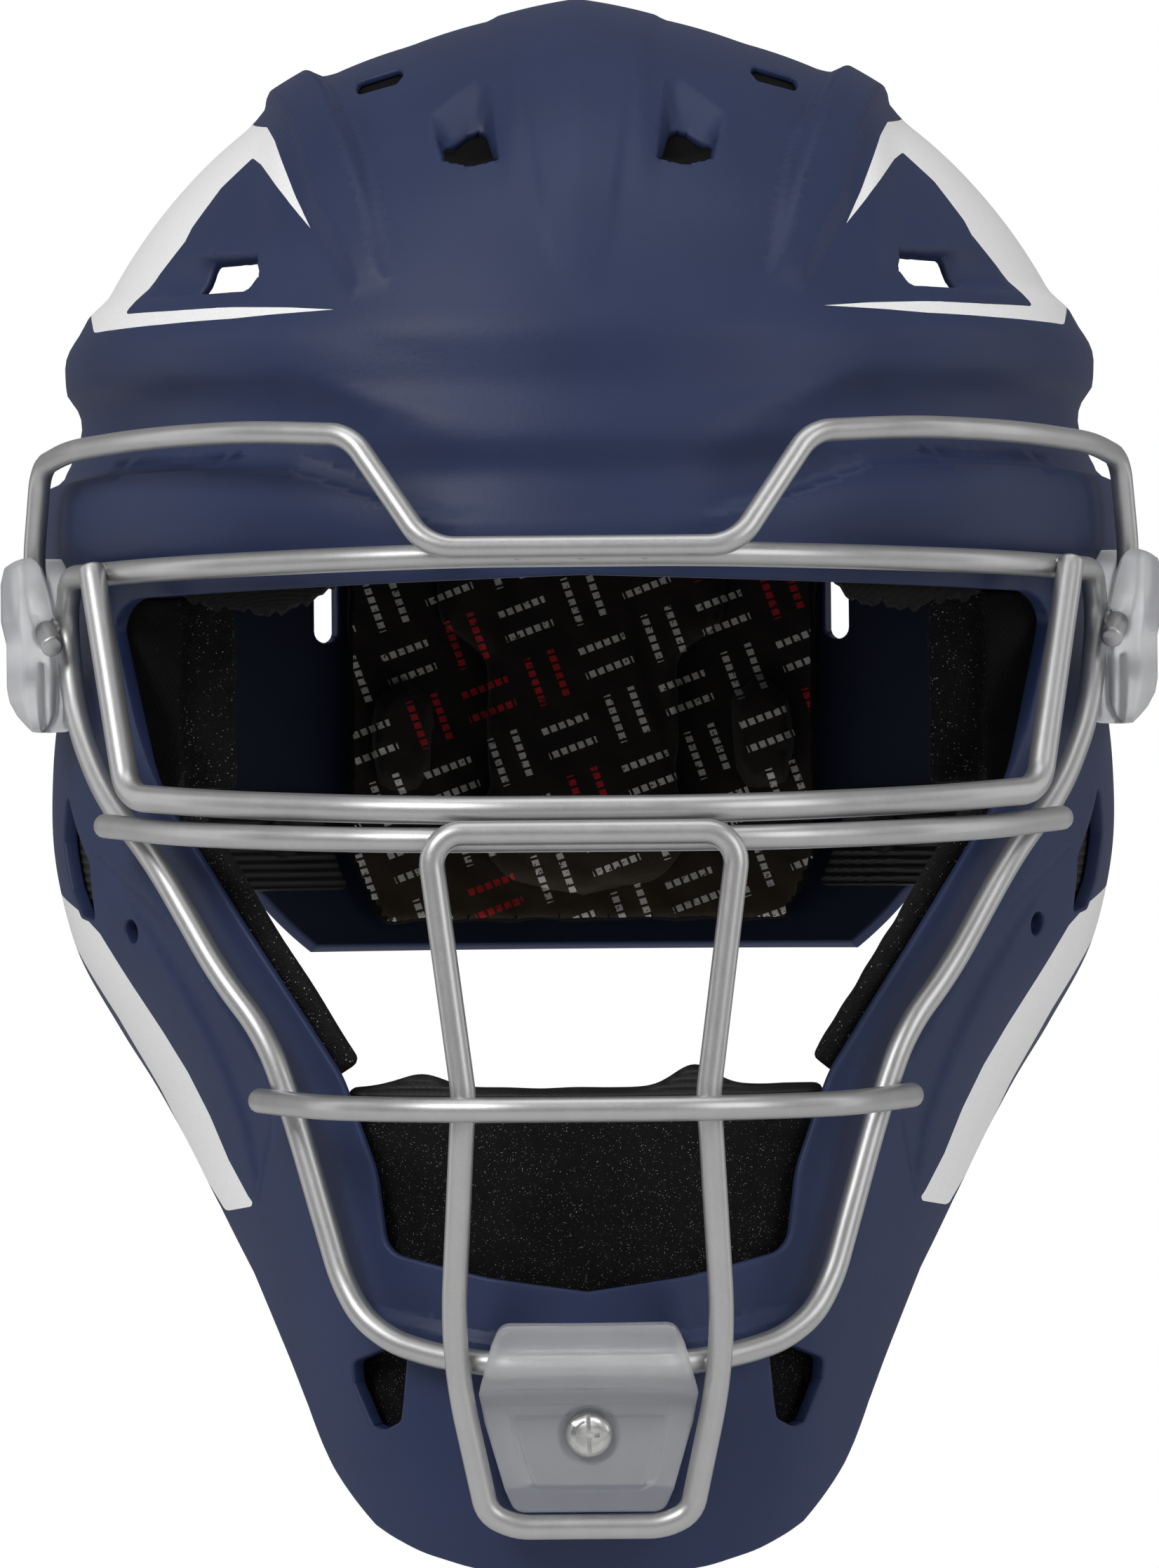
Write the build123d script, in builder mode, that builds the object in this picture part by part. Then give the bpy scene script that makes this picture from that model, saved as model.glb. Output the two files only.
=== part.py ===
"""Baseball catcher helmet: a front shell with its steel cage, and a rear plate that rocks at the crown.

Millimetres. The face looks along -Y, +X is to the viewer's right and +Z is up. The origin is the
centre of the head space at the height of a hat band.
"""

from build123d import *
import os
from math import radians, sqrt, tan

os.makedirs("parts", exist_ok=True)

# Driving sizes of the shell
crown_half_width = 110.5
crown_height = 101.0
jaw_half_width = 113.0
chin_drop = 222.0
front_reach = 118.0
rear_reach = 118.0
shell_wall = 3.2
overrun = 40.0
seat_gap = 0.3

# Driving sizes of the cage and its fasteners
wire = 4.6
screw_diameter = 4.2
screw_head_diameter = 9.2
screw_head_height = 2.4
screw_clearance = 0.2
nut_flange_diameter = 12.0
nut_flange_height = 1.5
nut_barrel_diameter = 6.4

# Form of the crown: height, and how far its sides and its brow stand off the plain ellipsoid
crown_shares = [
    (0.985, 0.0, 0.0), (0.94, 0.0, 0.0), (0.86, 0.0, 0.0), (0.74, 0.0, 0.0), (0.60, 0.0, 0.0),
    (0.46, 0.004, 0.0), (0.34, 0.010, 0.004), (0.27, 0.018, 0.008), (0.215, 0.000, 0.000),
    (0.155, -0.024, -0.008), (0.10, -0.014, -0.002), (0.045, 0.010, 0.010),
]
# Form of the brow band, cheeks and chin: drop, half width, centre, front reach, rear reach
jaw_shares = [
    (0.005, 1.000, 0.000, 1.008, 1.000), (0.036, 1.006, 0.000, 1.025, 1.000),
    (0.068, 1.003, 0.000, 1.030, 1.000), (0.100, 0.978, 0.000, 1.030, 1.000),
    (0.144, 0.970, 0.000, 1.030, 0.996), (0.207, 0.984, 0.000, 1.032, 0.987),
    (0.270, 0.996, 0.000, 1.034, 0.970), (0.342, 0.995, 0.025, 1.051, 0.949),
    (0.396, 0.976, 0.059, 1.064, 0.932), (0.450, 0.941, 0.102, 1.076, 0.898),
    (0.518, 0.863, 0.153, 1.093, 0.831), (0.572, 0.795, 0.212, 1.106, 0.746),
    (0.622, 0.750, 0.254, 1.116, 0.644), (0.676, 0.711, 0.297, 1.127, 0.525),
    (0.739, 0.664, 0.360, 1.136, 0.373), (0.806, 0.619, 0.424, 1.144, 0.220),
    (0.905, 0.566, 0.508, 1.136, 0.051), (1.000, 0.491, 0.585, 1.076, -0.085),
]


def stations(inset=0.0):
    """Height, half width, centre, front and rear of each level section, from the top down."""
    rows = []
    for rise, side, brow in crown_shares:
        ring = sqrt(1 - rise * rise)
        half = (crown_half_width - inset) * ring * (1 + side)
        front = -(front_reach - inset) * ring * (1 + brow)
        rear = (rear_reach - inset) * ring * (1 + brow)
        rows.append(((crown_height - inset) * rise, half, 0.0, front, rear))
    for drop, half, centre, front, rear in jaw_shares:
        rows.append((
            -chin_drop * drop,
            jaw_half_width * half - inset,
            -front_reach * centre,
            -front_reach * front + inset,
            rear_reach * rear - inset,
        ))
    return rows


def envelope(inset=0.0):
    """The closed form of the helmet, drawn in by an inset, or let out by a negative one."""
    with BuildPart() as form:
        for height, half, centre, front, rear in stations(inset):
            with BuildSketch(Plane.XY.offset(height)):
                with BuildLine():
                    EllipticalCenterArc((0, centre), half, centre - front, 180, arc_size=180)
                    EllipticalCenterArc((0, centre), half, rear - centre, 0, arc_size=180)
                make_face()
        loft()
    return form.part


def level(z):
    """Half width, centre and front of the outer form at a height."""
    rows = stations()
    for upper, lower in zip(rows, rows[1:]):
        if upper[0] >= z >= lower[0]:
            part = (upper[0] - z) / (upper[0] - lower[0])
            return [u + (w - u) * part for u, w in zip(upper[1:4], lower[1:4])]
    return list(rows[-1][1:4])


def on_face(x, z, stand=0.0):
    """The point in front of the outer form at a width and height, off it by a stand."""
    half, centre, front = level(z)
    bulge = sqrt(max(0.0, 1 - (x / (half + stand)) ** 2))
    return Vector(x, centre - (centre - front + stand) * bulge, z)


def crown_plane(x, y, depth):
    """A plane square to the crown at a place on it, sunk by a depth."""
    z = crown_height * sqrt(1 - (x / crown_half_width) ** 2 - (y / rear_reach) ** 2)
    normal = Vector(x / crown_half_width**2, y / rear_reach**2, z / crown_height**2).normalized()
    return Plane(origin=Vector(x, y, z) - normal * depth, x_dir=(1, 0, 0), z_dir=normal)


outer_form = envelope()
inner_form = envelope(shell_wall)


def scaled(shares, width, height):
    """Points of an outline from its shares of a width and a height."""
    return [(across * width, up * height) for across, up in shares]


def both_sides(half_outline):
    """An outline on both sides of the middle plane, from its half from top to bottom."""
    other = [(-across, up) for across, up in reversed(half_outline) if across > 0]
    return half_outline + other


def rounded_corners(sketch, points, radii):
    """Round the corners of a sketch's outline, each to its own radius."""
    for point, radius in zip(points, radii):
        if radius > 0:
            fillet(sketch.vertices().sort_by_distance(point)[0], radius)


def front_prism(points, near, far):
    """An outline in the front view, as a block from one depth to another towards the face."""
    with BuildPart() as block:
        with BuildSketch(Plane.XZ.offset(near)):
            with BuildLine():
                Polyline(*points, close=True)
            make_face()
        extrude(amount=far - near)
    return block.part


def plan_prism(points, low, high):
    """An outline in the plan view, as a block from one height to another."""
    with BuildPart() as block:
        with BuildSketch(Plane.XY.offset(low)):
            with BuildLine():
                Polyline(*points, close=True)
            make_face()
        extrude(amount=high - low)
    return block.part


def side_prism(points, half_length):
    """An outline in the side view, as a block through both sides."""
    with BuildPart() as block:
        with BuildSketch(Plane.YZ):
            with BuildLine():
                Polyline(*points, close=True)
            make_face()
        extrude(amount=half_length, both=True)
    return block.part


# Front shell: the places of its edges, vents and windows
rear_edge_shares = [
    (0.411, 0.30), (0.411, 0.19), (0.390, 0.0), (0.339, -0.135), (0.229, -0.270), (0.119, -0.387),
    (0.102, -0.419), (0.025, -0.439), (-0.042, -0.450), (-0.212, -0.518), (-0.339, -0.572),
    (-0.466, -0.617), (-0.593, -0.676), (-0.695, -0.734), (-0.780, -0.806), (-0.831, -0.851),
    (-0.881, -0.905), (-0.958, -0.973),
]
face_shares = [
    (0.0, -0.101), (0.865, -0.115), (0.783, -0.286), (0.442, -0.550), (0.381, -0.635),
    (0.363, -0.707), (0.182, -0.727), (0.0, -0.739),
]
face_corner_radii = [0.0, 6.0, 40.0, 25.0, 25.0, 5.0, 20.0, 0.0]
face_depth = 20.0
flange_width = 11.7
flange_sink = 1.4
flange_top_share = 0.26
chin_edge_half_width = 53.0
chin_edge_rise = 20.5
front_vent_size = (11.0, 11.0)
front_vent_place = (22.9, 68.5)
front_vent_shares = [
    (-0.50, 0.08), (-0.05, 0.45), (0.24, 0.51), (0.50, -0.46), (0.13, -0.50), (-0.36, -0.36),
]
front_vent_rim_shares = [
    (-0.78, -0.10), (-0.22, 1.00), (0.32, 1.12), (0.62, 0.90), (0.72, -0.38), (0.40, -0.62),
    (-0.60, -0.48),
]
side_vent_size = (11.0, 6.5)
side_vent_place = (71.7, 39.6)
side_vent_shares = [(-0.50, -0.50), (-0.20, 0.50), (0.42, 0.44), (0.50, -0.05), (0.34, -0.42)]
side_vent_rim_shares = [
    (-1.25, -0.50), (-0.88, 0.66), (-0.30, 0.86), (0.52, 0.56), (0.50, -0.40), (0.2, -0.6),
]
top_vent_size = (11.0, 3.4)
top_vent_place = (41.5, 84.0)
top_vent_shares = [(-0.5, -0.5), (-0.36, 0.5), (0.5, 0.5), (0.36, -0.5)]
vent_rim_depth = 1.8
chin_vent_size = (11.0, 18.6)
chin_vent_place = (41.4, -182.9)
chin_vent_shares = [
    (-0.50, 0.21), (-0.47, -0.02), (-0.14, -0.46), (0.05, -0.50), (0.34, -0.40), (0.38, -0.22),
    (0.50, 0.50),
]
window_length = 19.0
window_height = 27.0
window_y = -43.5
window_z = -78.0
window_shares = [
    (0.40, 0.50), (-0.50, -0.06), (-0.50, -0.50), (0.00, -0.46), (0.30, -0.26), (0.50, 0.10),
]
jaw_hole_diameter = 4.8
jaw_hole_y = -70.0
jaw_hole_z = -93.4
spine_shares = [
    (0.0, -0.97), (0.060, -0.90), (0.088, -0.74), (0.108, -0.57), (0.160, -0.21), (0.172, 0.62),
]
ridge_inner_shares = [
    (0.353, -0.860), (0.392, -0.720), (0.447, -0.500), (0.492, -0.229), (0.516, 0.0), (0.525, 0.50),
]
ridge_outer_shares = [
    (0.600, 0.50), (0.597, 0.0), (0.579, -0.169), (0.548, -0.381), (0.489, -0.695), (0.410, -0.845),
]
band_rise = 1.4
band_root = 1.0
band_floor_share = 0.25

rear_edge = [(front_reach * y, chin_drop * z) for y, z in rear_edge_shares]
behind_front_shell = (
    [(rear_edge[0][0], crown_height + overrun)]
    + rear_edge
    + [
        (rear_edge[-1][0], -chin_drop - overrun),
        (rear_reach + overrun, -chin_drop - overrun),
        (rear_reach + overrun, crown_height + overrun),
    ]
)


def vent(shares, size, place, side):
    """A vent in the front view, on the right side or, mirrored, on the left, as a block."""
    points = [
        (side * (place[0] - across * size[0]), place[1] + up * size[1]) for across, up in shares
    ]
    return front_prism(points, face_depth, front_reach + overrun)


with BuildPart() as face_opening:
    with BuildSketch(Plane.XZ.offset(face_depth)) as face_outline:
        face_loop = both_sides(scaled(face_shares, jaw_half_width, chin_drop))
        with BuildLine():
            Polyline(*face_loop, close=True)
        make_face()
        rounded_corners(face_outline, face_loop, face_corner_radii + face_corner_radii[-2:0:-1])
    extrude(amount=front_reach + overrun)

# The flange around the cheeks and chin lies a step below them, and the loop runs over it
flange_core = envelope(flange_sink)
with BuildPart() as flange_step:
    with BuildSketch(Plane.XZ.offset(face_depth)):
        offset(face_outline.sketch, amount=flange_width)
        with Locations((0, -chin_drop * flange_top_share)):
            Rectangle(
                2 * (jaw_half_width + overrun), chin_drop,
                align=(Align.CENTER, Align.MAX), mode=Mode.INTERSECT,
            )
    extrude(amount=front_reach + overrun)
    add(flange_core, mode=Mode.SUBTRACT)

with BuildPart() as below_chin:
    with BuildSketch(Plane.XZ):
        with BuildLine():
            ThreePointArc(
                (-chin_edge_half_width, -chin_drop + chin_edge_rise),
                (0, -chin_drop + seat_gap),
                (chin_edge_half_width, -chin_drop + chin_edge_rise),
            )
            Polyline(
                (chin_edge_half_width, -chin_drop + chin_edge_rise),
                (jaw_half_width, -chin_drop + chin_edge_rise),
                (jaw_half_width, -chin_drop - overrun),
                (-jaw_half_width, -chin_drop - overrun),
                (-jaw_half_width, -chin_drop + chin_edge_rise),
                (-chin_edge_half_width, -chin_drop + chin_edge_rise),
            )
        make_face()
    extrude(amount=front_reach + overrun)

band_plans = [both_sides(scaled(spine_shares, crown_half_width, front_reach))]
ridge_shares = ridge_inner_shares + ridge_outer_shares
ridge_plan = scaled(ridge_shares, crown_half_width, front_reach)
band_plans.append(ridge_plan)
band_plans.append([(-across, along) for across, along in ridge_plan])
band_form = envelope(-band_rise)
band_core = envelope(band_root)

with BuildPart() as raised_bands:
    for plan in band_plans:
        add(plan_prism(plan, crown_height * band_floor_share, crown_height + overrun))
    add(band_form, mode=Mode.INTERSECT)
    add(band_core, mode=Mode.SUBTRACT)

rim_core = envelope(vent_rim_depth)
with BuildPart() as vent_rims:
    for side in (-1, 1):
        add(vent(front_vent_rim_shares, front_vent_size, front_vent_place, side))
        add(vent(side_vent_rim_shares, side_vent_size, side_vent_place, side))
    add(rim_core, mode=Mode.SUBTRACT)

front_cutters = [
    vent_rims.part,
    flange_step.part,
    side_prism(behind_front_shell, jaw_half_width + overrun),
    face_opening.part,
    below_chin.part,
]
for side in (-1, 1):
    front_cutters += [
        vent(front_vent_shares, front_vent_size, front_vent_place, side),
        vent(side_vent_shares, side_vent_size, side_vent_place, side),
        vent(top_vent_shares, top_vent_size, top_vent_place, side),
        vent(chin_vent_shares, chin_vent_size, chin_vent_place, side),
    ]
window = [
    (window_y + along * window_length, window_z + up * window_height) for along, up in window_shares
]
front_cutters.append(side_prism(window, jaw_half_width + overrun))
with BuildPart() as jaw_holes:
    with BuildSketch(Plane.YZ):
        with Locations((jaw_hole_y, jaw_hole_z)):
            Circle(jaw_hole_diameter / 2)
    extrude(amount=jaw_half_width + overrun, both=True)
front_cutters.append(jaw_holes.part)

# Rear plate: it swings from a tongue under the crown
hinge_x = 30.0
hinge_y = 42.0
tongue_clearance = 1.6
tongue_wall = 3.0
tongue_half_width = 45.0
tongue_front = 22.0
tongue_overlap = 9.0
plate_front = 51.5
plate_edge_shares = [
    (0.0, 0.30), (0.013, 0.09), (0.022, -0.09), (0.055, -0.216), (0.14, -0.315), (0.242, -0.396),
    (0.275, -0.441),
]
slot_vent_width = 5.0
slot_vent_height = 22.0
slot_vent_x = 59.0
slot_vent_z = -21.0
rear_vent_width = 15.0
rear_vent_height = 11.0
rear_vent_x = 72.0
rear_vent_z = 39.6
rear_vent_slant = 75

tongue_outer = shell_wall + tongue_clearance
tongue_inner = tongue_outer + tongue_wall
plate_edge = [(plate_front + rear_reach * y, chin_drop * z) for y, z in plate_edge_shares]
plate_bottom = plate_edge[-1][1]
plate_region = (
    [(plate_edge[0][0], crown_height + overrun)]
    + plate_edge
    + [(rear_reach + overrun, plate_bottom), (rear_reach + overrun, crown_height + overrun)]
)
tongue_form = envelope(tongue_outer)
tongue_core = envelope(tongue_inner)

with BuildPart() as tongue:
    with BuildSketch(Plane.XY):
        with Locations((0, (tongue_front + plate_front + tongue_overlap) / 2)):
            Rectangle(2 * tongue_half_width, plate_front + tongue_overlap - tongue_front)
    extrude(amount=crown_height)
    fillet(tongue.edges().filter_by(Axis.Z).group_by(Axis.Y)[0], radius=tongue_overlap)
    add(tongue_form, mode=Mode.INTERSECT)
    add(tongue_core, mode=Mode.SUBTRACT)

with BuildPart() as joggle:
    with BuildSketch(Plane.XY):
        with Locations((0, plate_front + tongue_overlap / 2)):
            Rectangle(2 * tongue_half_width, tongue_overlap)
    extrude(amount=crown_height)
    add(outer_form, mode=Mode.INTERSECT)
    add(tongue_core, mode=Mode.SUBTRACT)

with BuildPart() as rear_shell:
    add(outer_form)
    add(inner_form, mode=Mode.SUBTRACT)
    add(side_prism(plate_region, jaw_half_width + overrun), mode=Mode.INTERSECT)
    add(joggle.part)
    add(tongue.part)
    with BuildSketch(Plane.XZ.offset(-plate_front)):
        for side in (-1, 1):
            with Locations((side * slot_vent_x, slot_vent_z)):
                SlotOverall(slot_vent_height, slot_vent_width, rotation=90)
            with Locations((side * rear_vent_x, rear_vent_z)):
                Trapezoid(rear_vent_width, rear_vent_height, rear_vent_slant)
    extrude(amount=-rear_reach, mode=Mode.SUBTRACT)

# Crown screws: each stands square to the crown, in a slot of the tongue
slot_play = 0.6
slot_travel = 6.0
crown_nut_gap = 1.4
with BuildPart() as crown_screws:
    for side in (-1, 1):
        with BuildSketch(crown_plane(side * hinge_x, hinge_y, 0)):
            Circle(screw_head_diameter / 2)
        extrude(amount=screw_head_height)
        with BuildSketch(crown_plane(side * hinge_x, hinge_y, 0)):
            Circle(screw_diameter / 2)
        extrude(amount=-(tongue_inner + crown_nut_gap + nut_flange_height))
with BuildPart() as crown_nuts:
    for side in (-1, 1):
        with BuildSketch(crown_plane(side * hinge_x, hinge_y, tongue_inner + crown_nut_gap)):
            Circle(nut_flange_diameter / 2)
            Circle(screw_diameter / 2 + screw_clearance / 2, mode=Mode.SUBTRACT)
        extrude(amount=-nut_flange_height)
with BuildPart() as crown_holes:
    for side in (-1, 1):
        with BuildSketch(crown_plane(side * hinge_x, hinge_y, -overrun / 4)):
            Circle(screw_diameter / 2 + screw_clearance)
        extrude(amount=-(shell_wall + tongue_clearance / 2 + overrun / 4))
with BuildPart() as crown_slots:
    for side in (-1, 1):
        with BuildSketch(crown_plane(side * hinge_x, hinge_y, shell_wall + tongue_clearance / 2)):
            SlotOverall(screw_diameter + slot_travel, screw_diameter + 2 * slot_play, rotation=90)
        extrude(amount=-(tongue_clearance + tongue_wall + overrun / 8))
with BuildPart() as head_seats:
    for side in (-1, 1):
        with BuildSketch(crown_plane(side * hinge_x, hinge_y, 0)):
            Circle(screw_head_diameter / 2 + seat_gap)
        extrude(amount=overrun / 8)

# Cage: each route is half a wire, outwards from a run across the middle; x, z, stand or reach, bend
cage_stand = 10.0
loop_shares = [
    (0.200, -0.084, 1.28, 0.0), (0.442, -0.086, 1.05, 0.0), (0.752, -0.089, 0.80, 0.0),
    (0.935, -0.092, 0.52, 1.5), (0.947, -0.135, 0.5, 0.0), (0.926, -0.225, 0.5, 0.0),
    (0.864, -0.298, 0.5, 0.0), (0.773, -0.352, 0.5, 0.0), (0.649, -0.459, 0.5, 0.0),
    (0.566, -0.513, 0.5, 0.0), (0.515, -0.586, 0.5, 0.0), (0.469, -0.667, 0.5, 0.0),
    (0.433, -0.730, 0.5, 0.0), (0.397, -0.764, 0.5, 0.0), (0.340, -0.785, 0.5, 0.0),
    (0.260, -0.796, 0.55, 0.0), (0.159, -0.802, 0.75, 0.0),
]
brow_bar_shares = [
    (0.269, -0.078, 1.95, 2.2), (0.405, 0.025, 1.75, 2.2), (0.590, 0.031, 1.55, 0.0),
    (0.780, 0.030, 1.15, 0.0), (0.930, 0.024, 0.95, 0.0), (0.990, 0.012, 0.85, 1.6),
    (1.008, -0.077, 0.80, 0.0), (0.998, -0.126, 0.94, 0.0), (0.968, -0.156, 1.10, 0.0),
]
eye_frame_shares = [
    (0.180, -0.311, 1.252, 0.0), (0.380, -0.309, 1.195, 0.0), (0.637, -0.304, 1.017, 0.0),
    (0.812, -0.297, 0.822, 2.0), (0.885, -0.088, 0.622, 0.0),
]
upper_bar_shares = [
    (0.300, -0.337, 1.243, 0.0), (0.549, -0.334, 1.110, 0.0), (0.726, -0.330, 0.908, 0.0),
    (0.862, -0.323, 0.683, 0.0),
]
lower_bar_shares = [
    (0.160, -0.573, 1.355, 0.0), (0.320, -0.573, 1.300, 0.0), (0.450, -0.573, 1.185, 0.0),
    (0.522, -0.572, 1.052, 0.0), (0.577, -0.571, 0.937, 0.0),
]
muzzle_shares = [
    (0.270, -0.331, 1.284, 1.3), (0.211, -0.563, 1.293, 0.0), (0.215, -0.590, 1.290, 0.0),
    (0.237, -0.793, 1.196, 0.0), (0.178, -0.935, 1.157, 0.0), (0.128, -0.947, 1.155, 0.0),
]
closed_wires = ("cage_perimeter_loop", "cage_muzzle_loop")


def hugging(shares):
    """Points that stand off the shell, with the bend at each."""
    points = [on_face(x * jaw_half_width, z * chin_drop, s * cage_stand) for x, z, s, bend in shares]
    return points, [row[3] * wire for row in shares]


def reaching(shares):
    """Points at their own reach in front of the face, with the bend at each."""
    points = [
        Vector(x * jaw_half_width, -reach * front_reach, z * chin_drop) for x, z, reach, bend in shares
    ]
    return points, [row[3] * wire for row in shares]


def bend_radii(points, bends):
    """The bend at each corner: as named, or else as large as its two runs allow."""
    run_share = 0.45
    radii = []
    for before, corner, after, bend in zip(points, points[1:], points[2:], bends[1:]):
        turn = (corner - before).get_angle(after - corner)
        shorter = min((corner - before).length, (after - corner).length)
        widest = run_share * shorter / tan(radians(turn / 2))
        radii.append(min(bend, widest) if bend else widest)
    return radii


def from_middle(route, closed):
    """A half route with a straight run from the middle plane and, if closed, one back to it."""
    points, bends = route
    start = Vector(0, points[0].Y, points[0].Z)
    end = [Vector(0, points[-1].Y, points[-1].Z)] if closed else []
    return [start] + points + end, [0] + bends + [0] * len(end)


def bent_wire(route, diameter):
    """A whole wire: half of it swept along its bent route, and its mirror image."""
    points, bends = route
    with BuildLine(mode=Mode.PRIVATE) as path:
        FilletPolyline(*points, radius=bend_radii(points, bends))
    with BuildPart() as half:
        with BuildSketch(Plane(origin=path.line @ 0, z_dir=path.line % 0)):
            Circle(diameter / 2)
        sweep(path=path.line)
        mirror(about=Plane.YZ)
    return half.part


routes = {
    "cage_perimeter_loop": hugging(loop_shares),
    "cage_brow_bar": hugging(brow_bar_shares),
    "cage_eye_frame": reaching(eye_frame_shares),
    "cage_upper_bar": reaching(upper_bar_shares),
    "cage_lower_bar": reaching(lower_bar_shares),
    "cage_muzzle_loop": reaching(muzzle_shares),
}
routes = {name: from_middle(route, name in closed_wires) for name, route in routes.items()}
cage = {name: bent_wire(route, wire) for name, route in routes.items()}

# Chin clip: a moulded plate that hooks over the loop and is screwed to the chin
clip_gap = 0.3
clip_wall = 2.8
chin_clip_top = -170.3
chin_clip_height = 36.8
chin_clip_width = 43.0
chin_clip_plate = 4.2
chin_clip_panel_depth = 0.8
chin_screw_z = -192.0
screw_well_diameter = 10.7
screw_well_depth = 1.2
chin_clip_shares = [
    (0.400, 0.0), (0.445, -0.12), (0.500, -0.36), (0.475, -0.52), (0.385, -0.88), (0.340, -1.0),
    (-0.340, -1.0), (-0.385, -0.88), (-0.475, -0.52), (-0.500, -0.36), (-0.445, -0.12), (-0.400, 0.0),
]
chin_panel_share = 0.72
chin_loop = routes["cage_perimeter_loop"][0][-1]
hook_front = chin_loop.Y - wire / 2 - clip_wall
chin_face = on_face(0, chin_screw_z)
plate_front_y = chin_face.Y - chin_clip_plate
chin_clip_bottom = chin_clip_top - chin_clip_height
chin_clip_back = chin_face.Y + chin_clip_plate

outline = [(x * chin_clip_width, chin_clip_top + z * chin_clip_height) for x, z in chin_clip_shares]
under_hook = [
    (hook_front - overrun, chin_loop.Z - wire * 0.9),
    (hook_front, chin_loop.Z - wire * 0.9),
    (plate_front_y, chin_loop.Z - wire * 1.9),
    (plate_front_y, chin_clip_bottom - overrun),
    (hook_front - overrun, chin_clip_bottom - overrun),
]
with BuildPart() as chin_clip:
    with BuildSketch(Plane.XZ.offset(-chin_clip_back)) as clip_face:
        with BuildLine():
            Polyline(*outline, close=True)
        make_face()
        fillet(clip_face.vertices(), clip_wall)
    extrude(amount=chin_clip_back - hook_front)
    fillet(chin_clip.faces().sort_by(Axis.Y)[0].edges(), clip_wall / 2)
    with BuildSketch(Plane.YZ) as hook_profile:
        with BuildLine():
            Polyline(*under_hook, close=True)
        make_face()
        rounded_corners(hook_profile, under_hook, [0, clip_wall / 2, clip_wall, 0, 0])
    extrude(amount=chin_clip_width, both=True, mode=Mode.SUBTRACT)
    with BuildSketch(Plane.XZ.offset(-plate_front_y - chin_clip_panel_depth)) as clip_panel:
        panel = [
            (x * chin_panel_share, chin_screw_z + (z - chin_screw_z) * chin_panel_share)
            for x, z in outline[2:-2]
        ]
        with BuildLine():
            Polyline(*panel, close=True)
        make_face()
        fillet(clip_panel.vertices(), clip_wall / 2)
    extrude(amount=chin_clip_panel_depth, mode=Mode.SUBTRACT)
    with BuildSketch(Plane.XZ.offset(-plate_front_y - screw_well_depth)):
        with Locations((0, chin_screw_z)):
            Circle(screw_well_diameter / 2)
    extrude(amount=overrun, mode=Mode.SUBTRACT)
    with BuildSketch(Plane.XZ.offset(-chin_clip_back)):
        with Locations((0, chin_screw_z)):
            Circle(screw_diameter / 2 + screw_clearance)
    extrude(amount=overrun, mode=Mode.SUBTRACT)
    with BuildSketch(Plane.YZ):
        with Locations(((chin_loop.Y + chin_clip_back) / 2, chin_loop.Z)):
            Rectangle(chin_clip_back - chin_loop.Y, wire + 2 * clip_gap)
    extrude(amount=chin_clip_width, both=True, mode=Mode.SUBTRACT)
    add(bent_wire(routes["cage_perimeter_loop"], wire + 2 * clip_gap), mode=Mode.SUBTRACT)
    add(envelope(-clip_gap), mode=Mode.SUBTRACT)

# Side clips: each holds the end of the brow bar on the temple
side_clip_top = -17.4
side_clip_bottom = -52.0
side_clip_reach = 120.5
side_clip_front = 53.0
side_clip_length = 40.0
side_clip_inner = 109.2
side_clip_corner = 6.0
leaf_slot_x = 111.6
leaf_slot_width = 1.2
leaf_slot_top = -38.0
side_screw_y = -24.0
side_screw_z = -40.6
side_screw_seat = 118.2
side_clip_back = side_clip_length - side_clip_front
side_clip_plan = [
    (side_clip_inner - clip_wall * 4, side_clip_back),
    (side_clip_reach - clip_wall, side_clip_back),
    (side_clip_reach, side_clip_back - clip_wall * 2),
    (side_clip_reach, -side_clip_front + clip_wall * 2),
    (side_clip_reach - clip_wall * 1.5, -side_clip_front),
    (side_clip_inner + clip_wall / 4, -side_clip_front),
    (side_clip_inner, -side_clip_front + clip_wall),
    (side_clip_inner, -side_clip_front + side_clip_length / 3),
    (side_clip_inner - clip_wall * 4, -side_clip_front + side_clip_length / 2),
]
bar_channel = bent_wire(routes["cage_brow_bar"], wire + 2 * clip_gap)
loop_channel = bent_wire(routes["cage_perimeter_loop"], wire + 2 * clip_gap)
with BuildPart() as side_clip:
    add(plan_prism(side_clip_plan, side_clip_bottom, side_clip_top))
    with BuildSketch(Plane.YZ):
        with Locations(((side_clip_back - side_clip_front) / 2, (side_clip_top + side_clip_bottom) / 2)):
            RectangleRounded(side_clip_length, side_clip_top - side_clip_bottom, side_clip_corner)
    extrude(amount=side_clip_reach + overrun, mode=Mode.INTERSECT)
    with BuildSketch(Plane.XZ.offset(side_clip_front / 2 + side_clip_length / 4)):
        with Locations((leaf_slot_x, (leaf_slot_top + side_clip_bottom) / 2 - leaf_slot_width)):
            Rectangle(leaf_slot_width, leaf_slot_top - side_clip_bottom + 2 * leaf_slot_width)
    extrude(amount=side_clip_front, mode=Mode.SUBTRACT)
    with BuildSketch(Plane.YZ.offset(side_screw_seat)):
        with Locations((side_screw_y, side_screw_z)):
            Circle(screw_well_diameter / 2)
    extrude(amount=overrun, mode=Mode.SUBTRACT)
    with BuildSketch(Plane.YZ):
        with Locations((side_screw_y, side_screw_z)):
            Circle(screw_diameter / 2 + screw_clearance)
    extrude(amount=side_clip_reach, mode=Mode.SUBTRACT)
    add(bar_channel, mode=Mode.SUBTRACT)
    add(loop_channel, mode=Mode.SUBTRACT)
    add(envelope(-clip_gap), mode=Mode.SUBTRACT)
with BuildPart() as other_side_clip:
    add(mirror(side_clip.part, about=Plane.YZ, mode=Mode.PRIVATE))

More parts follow.
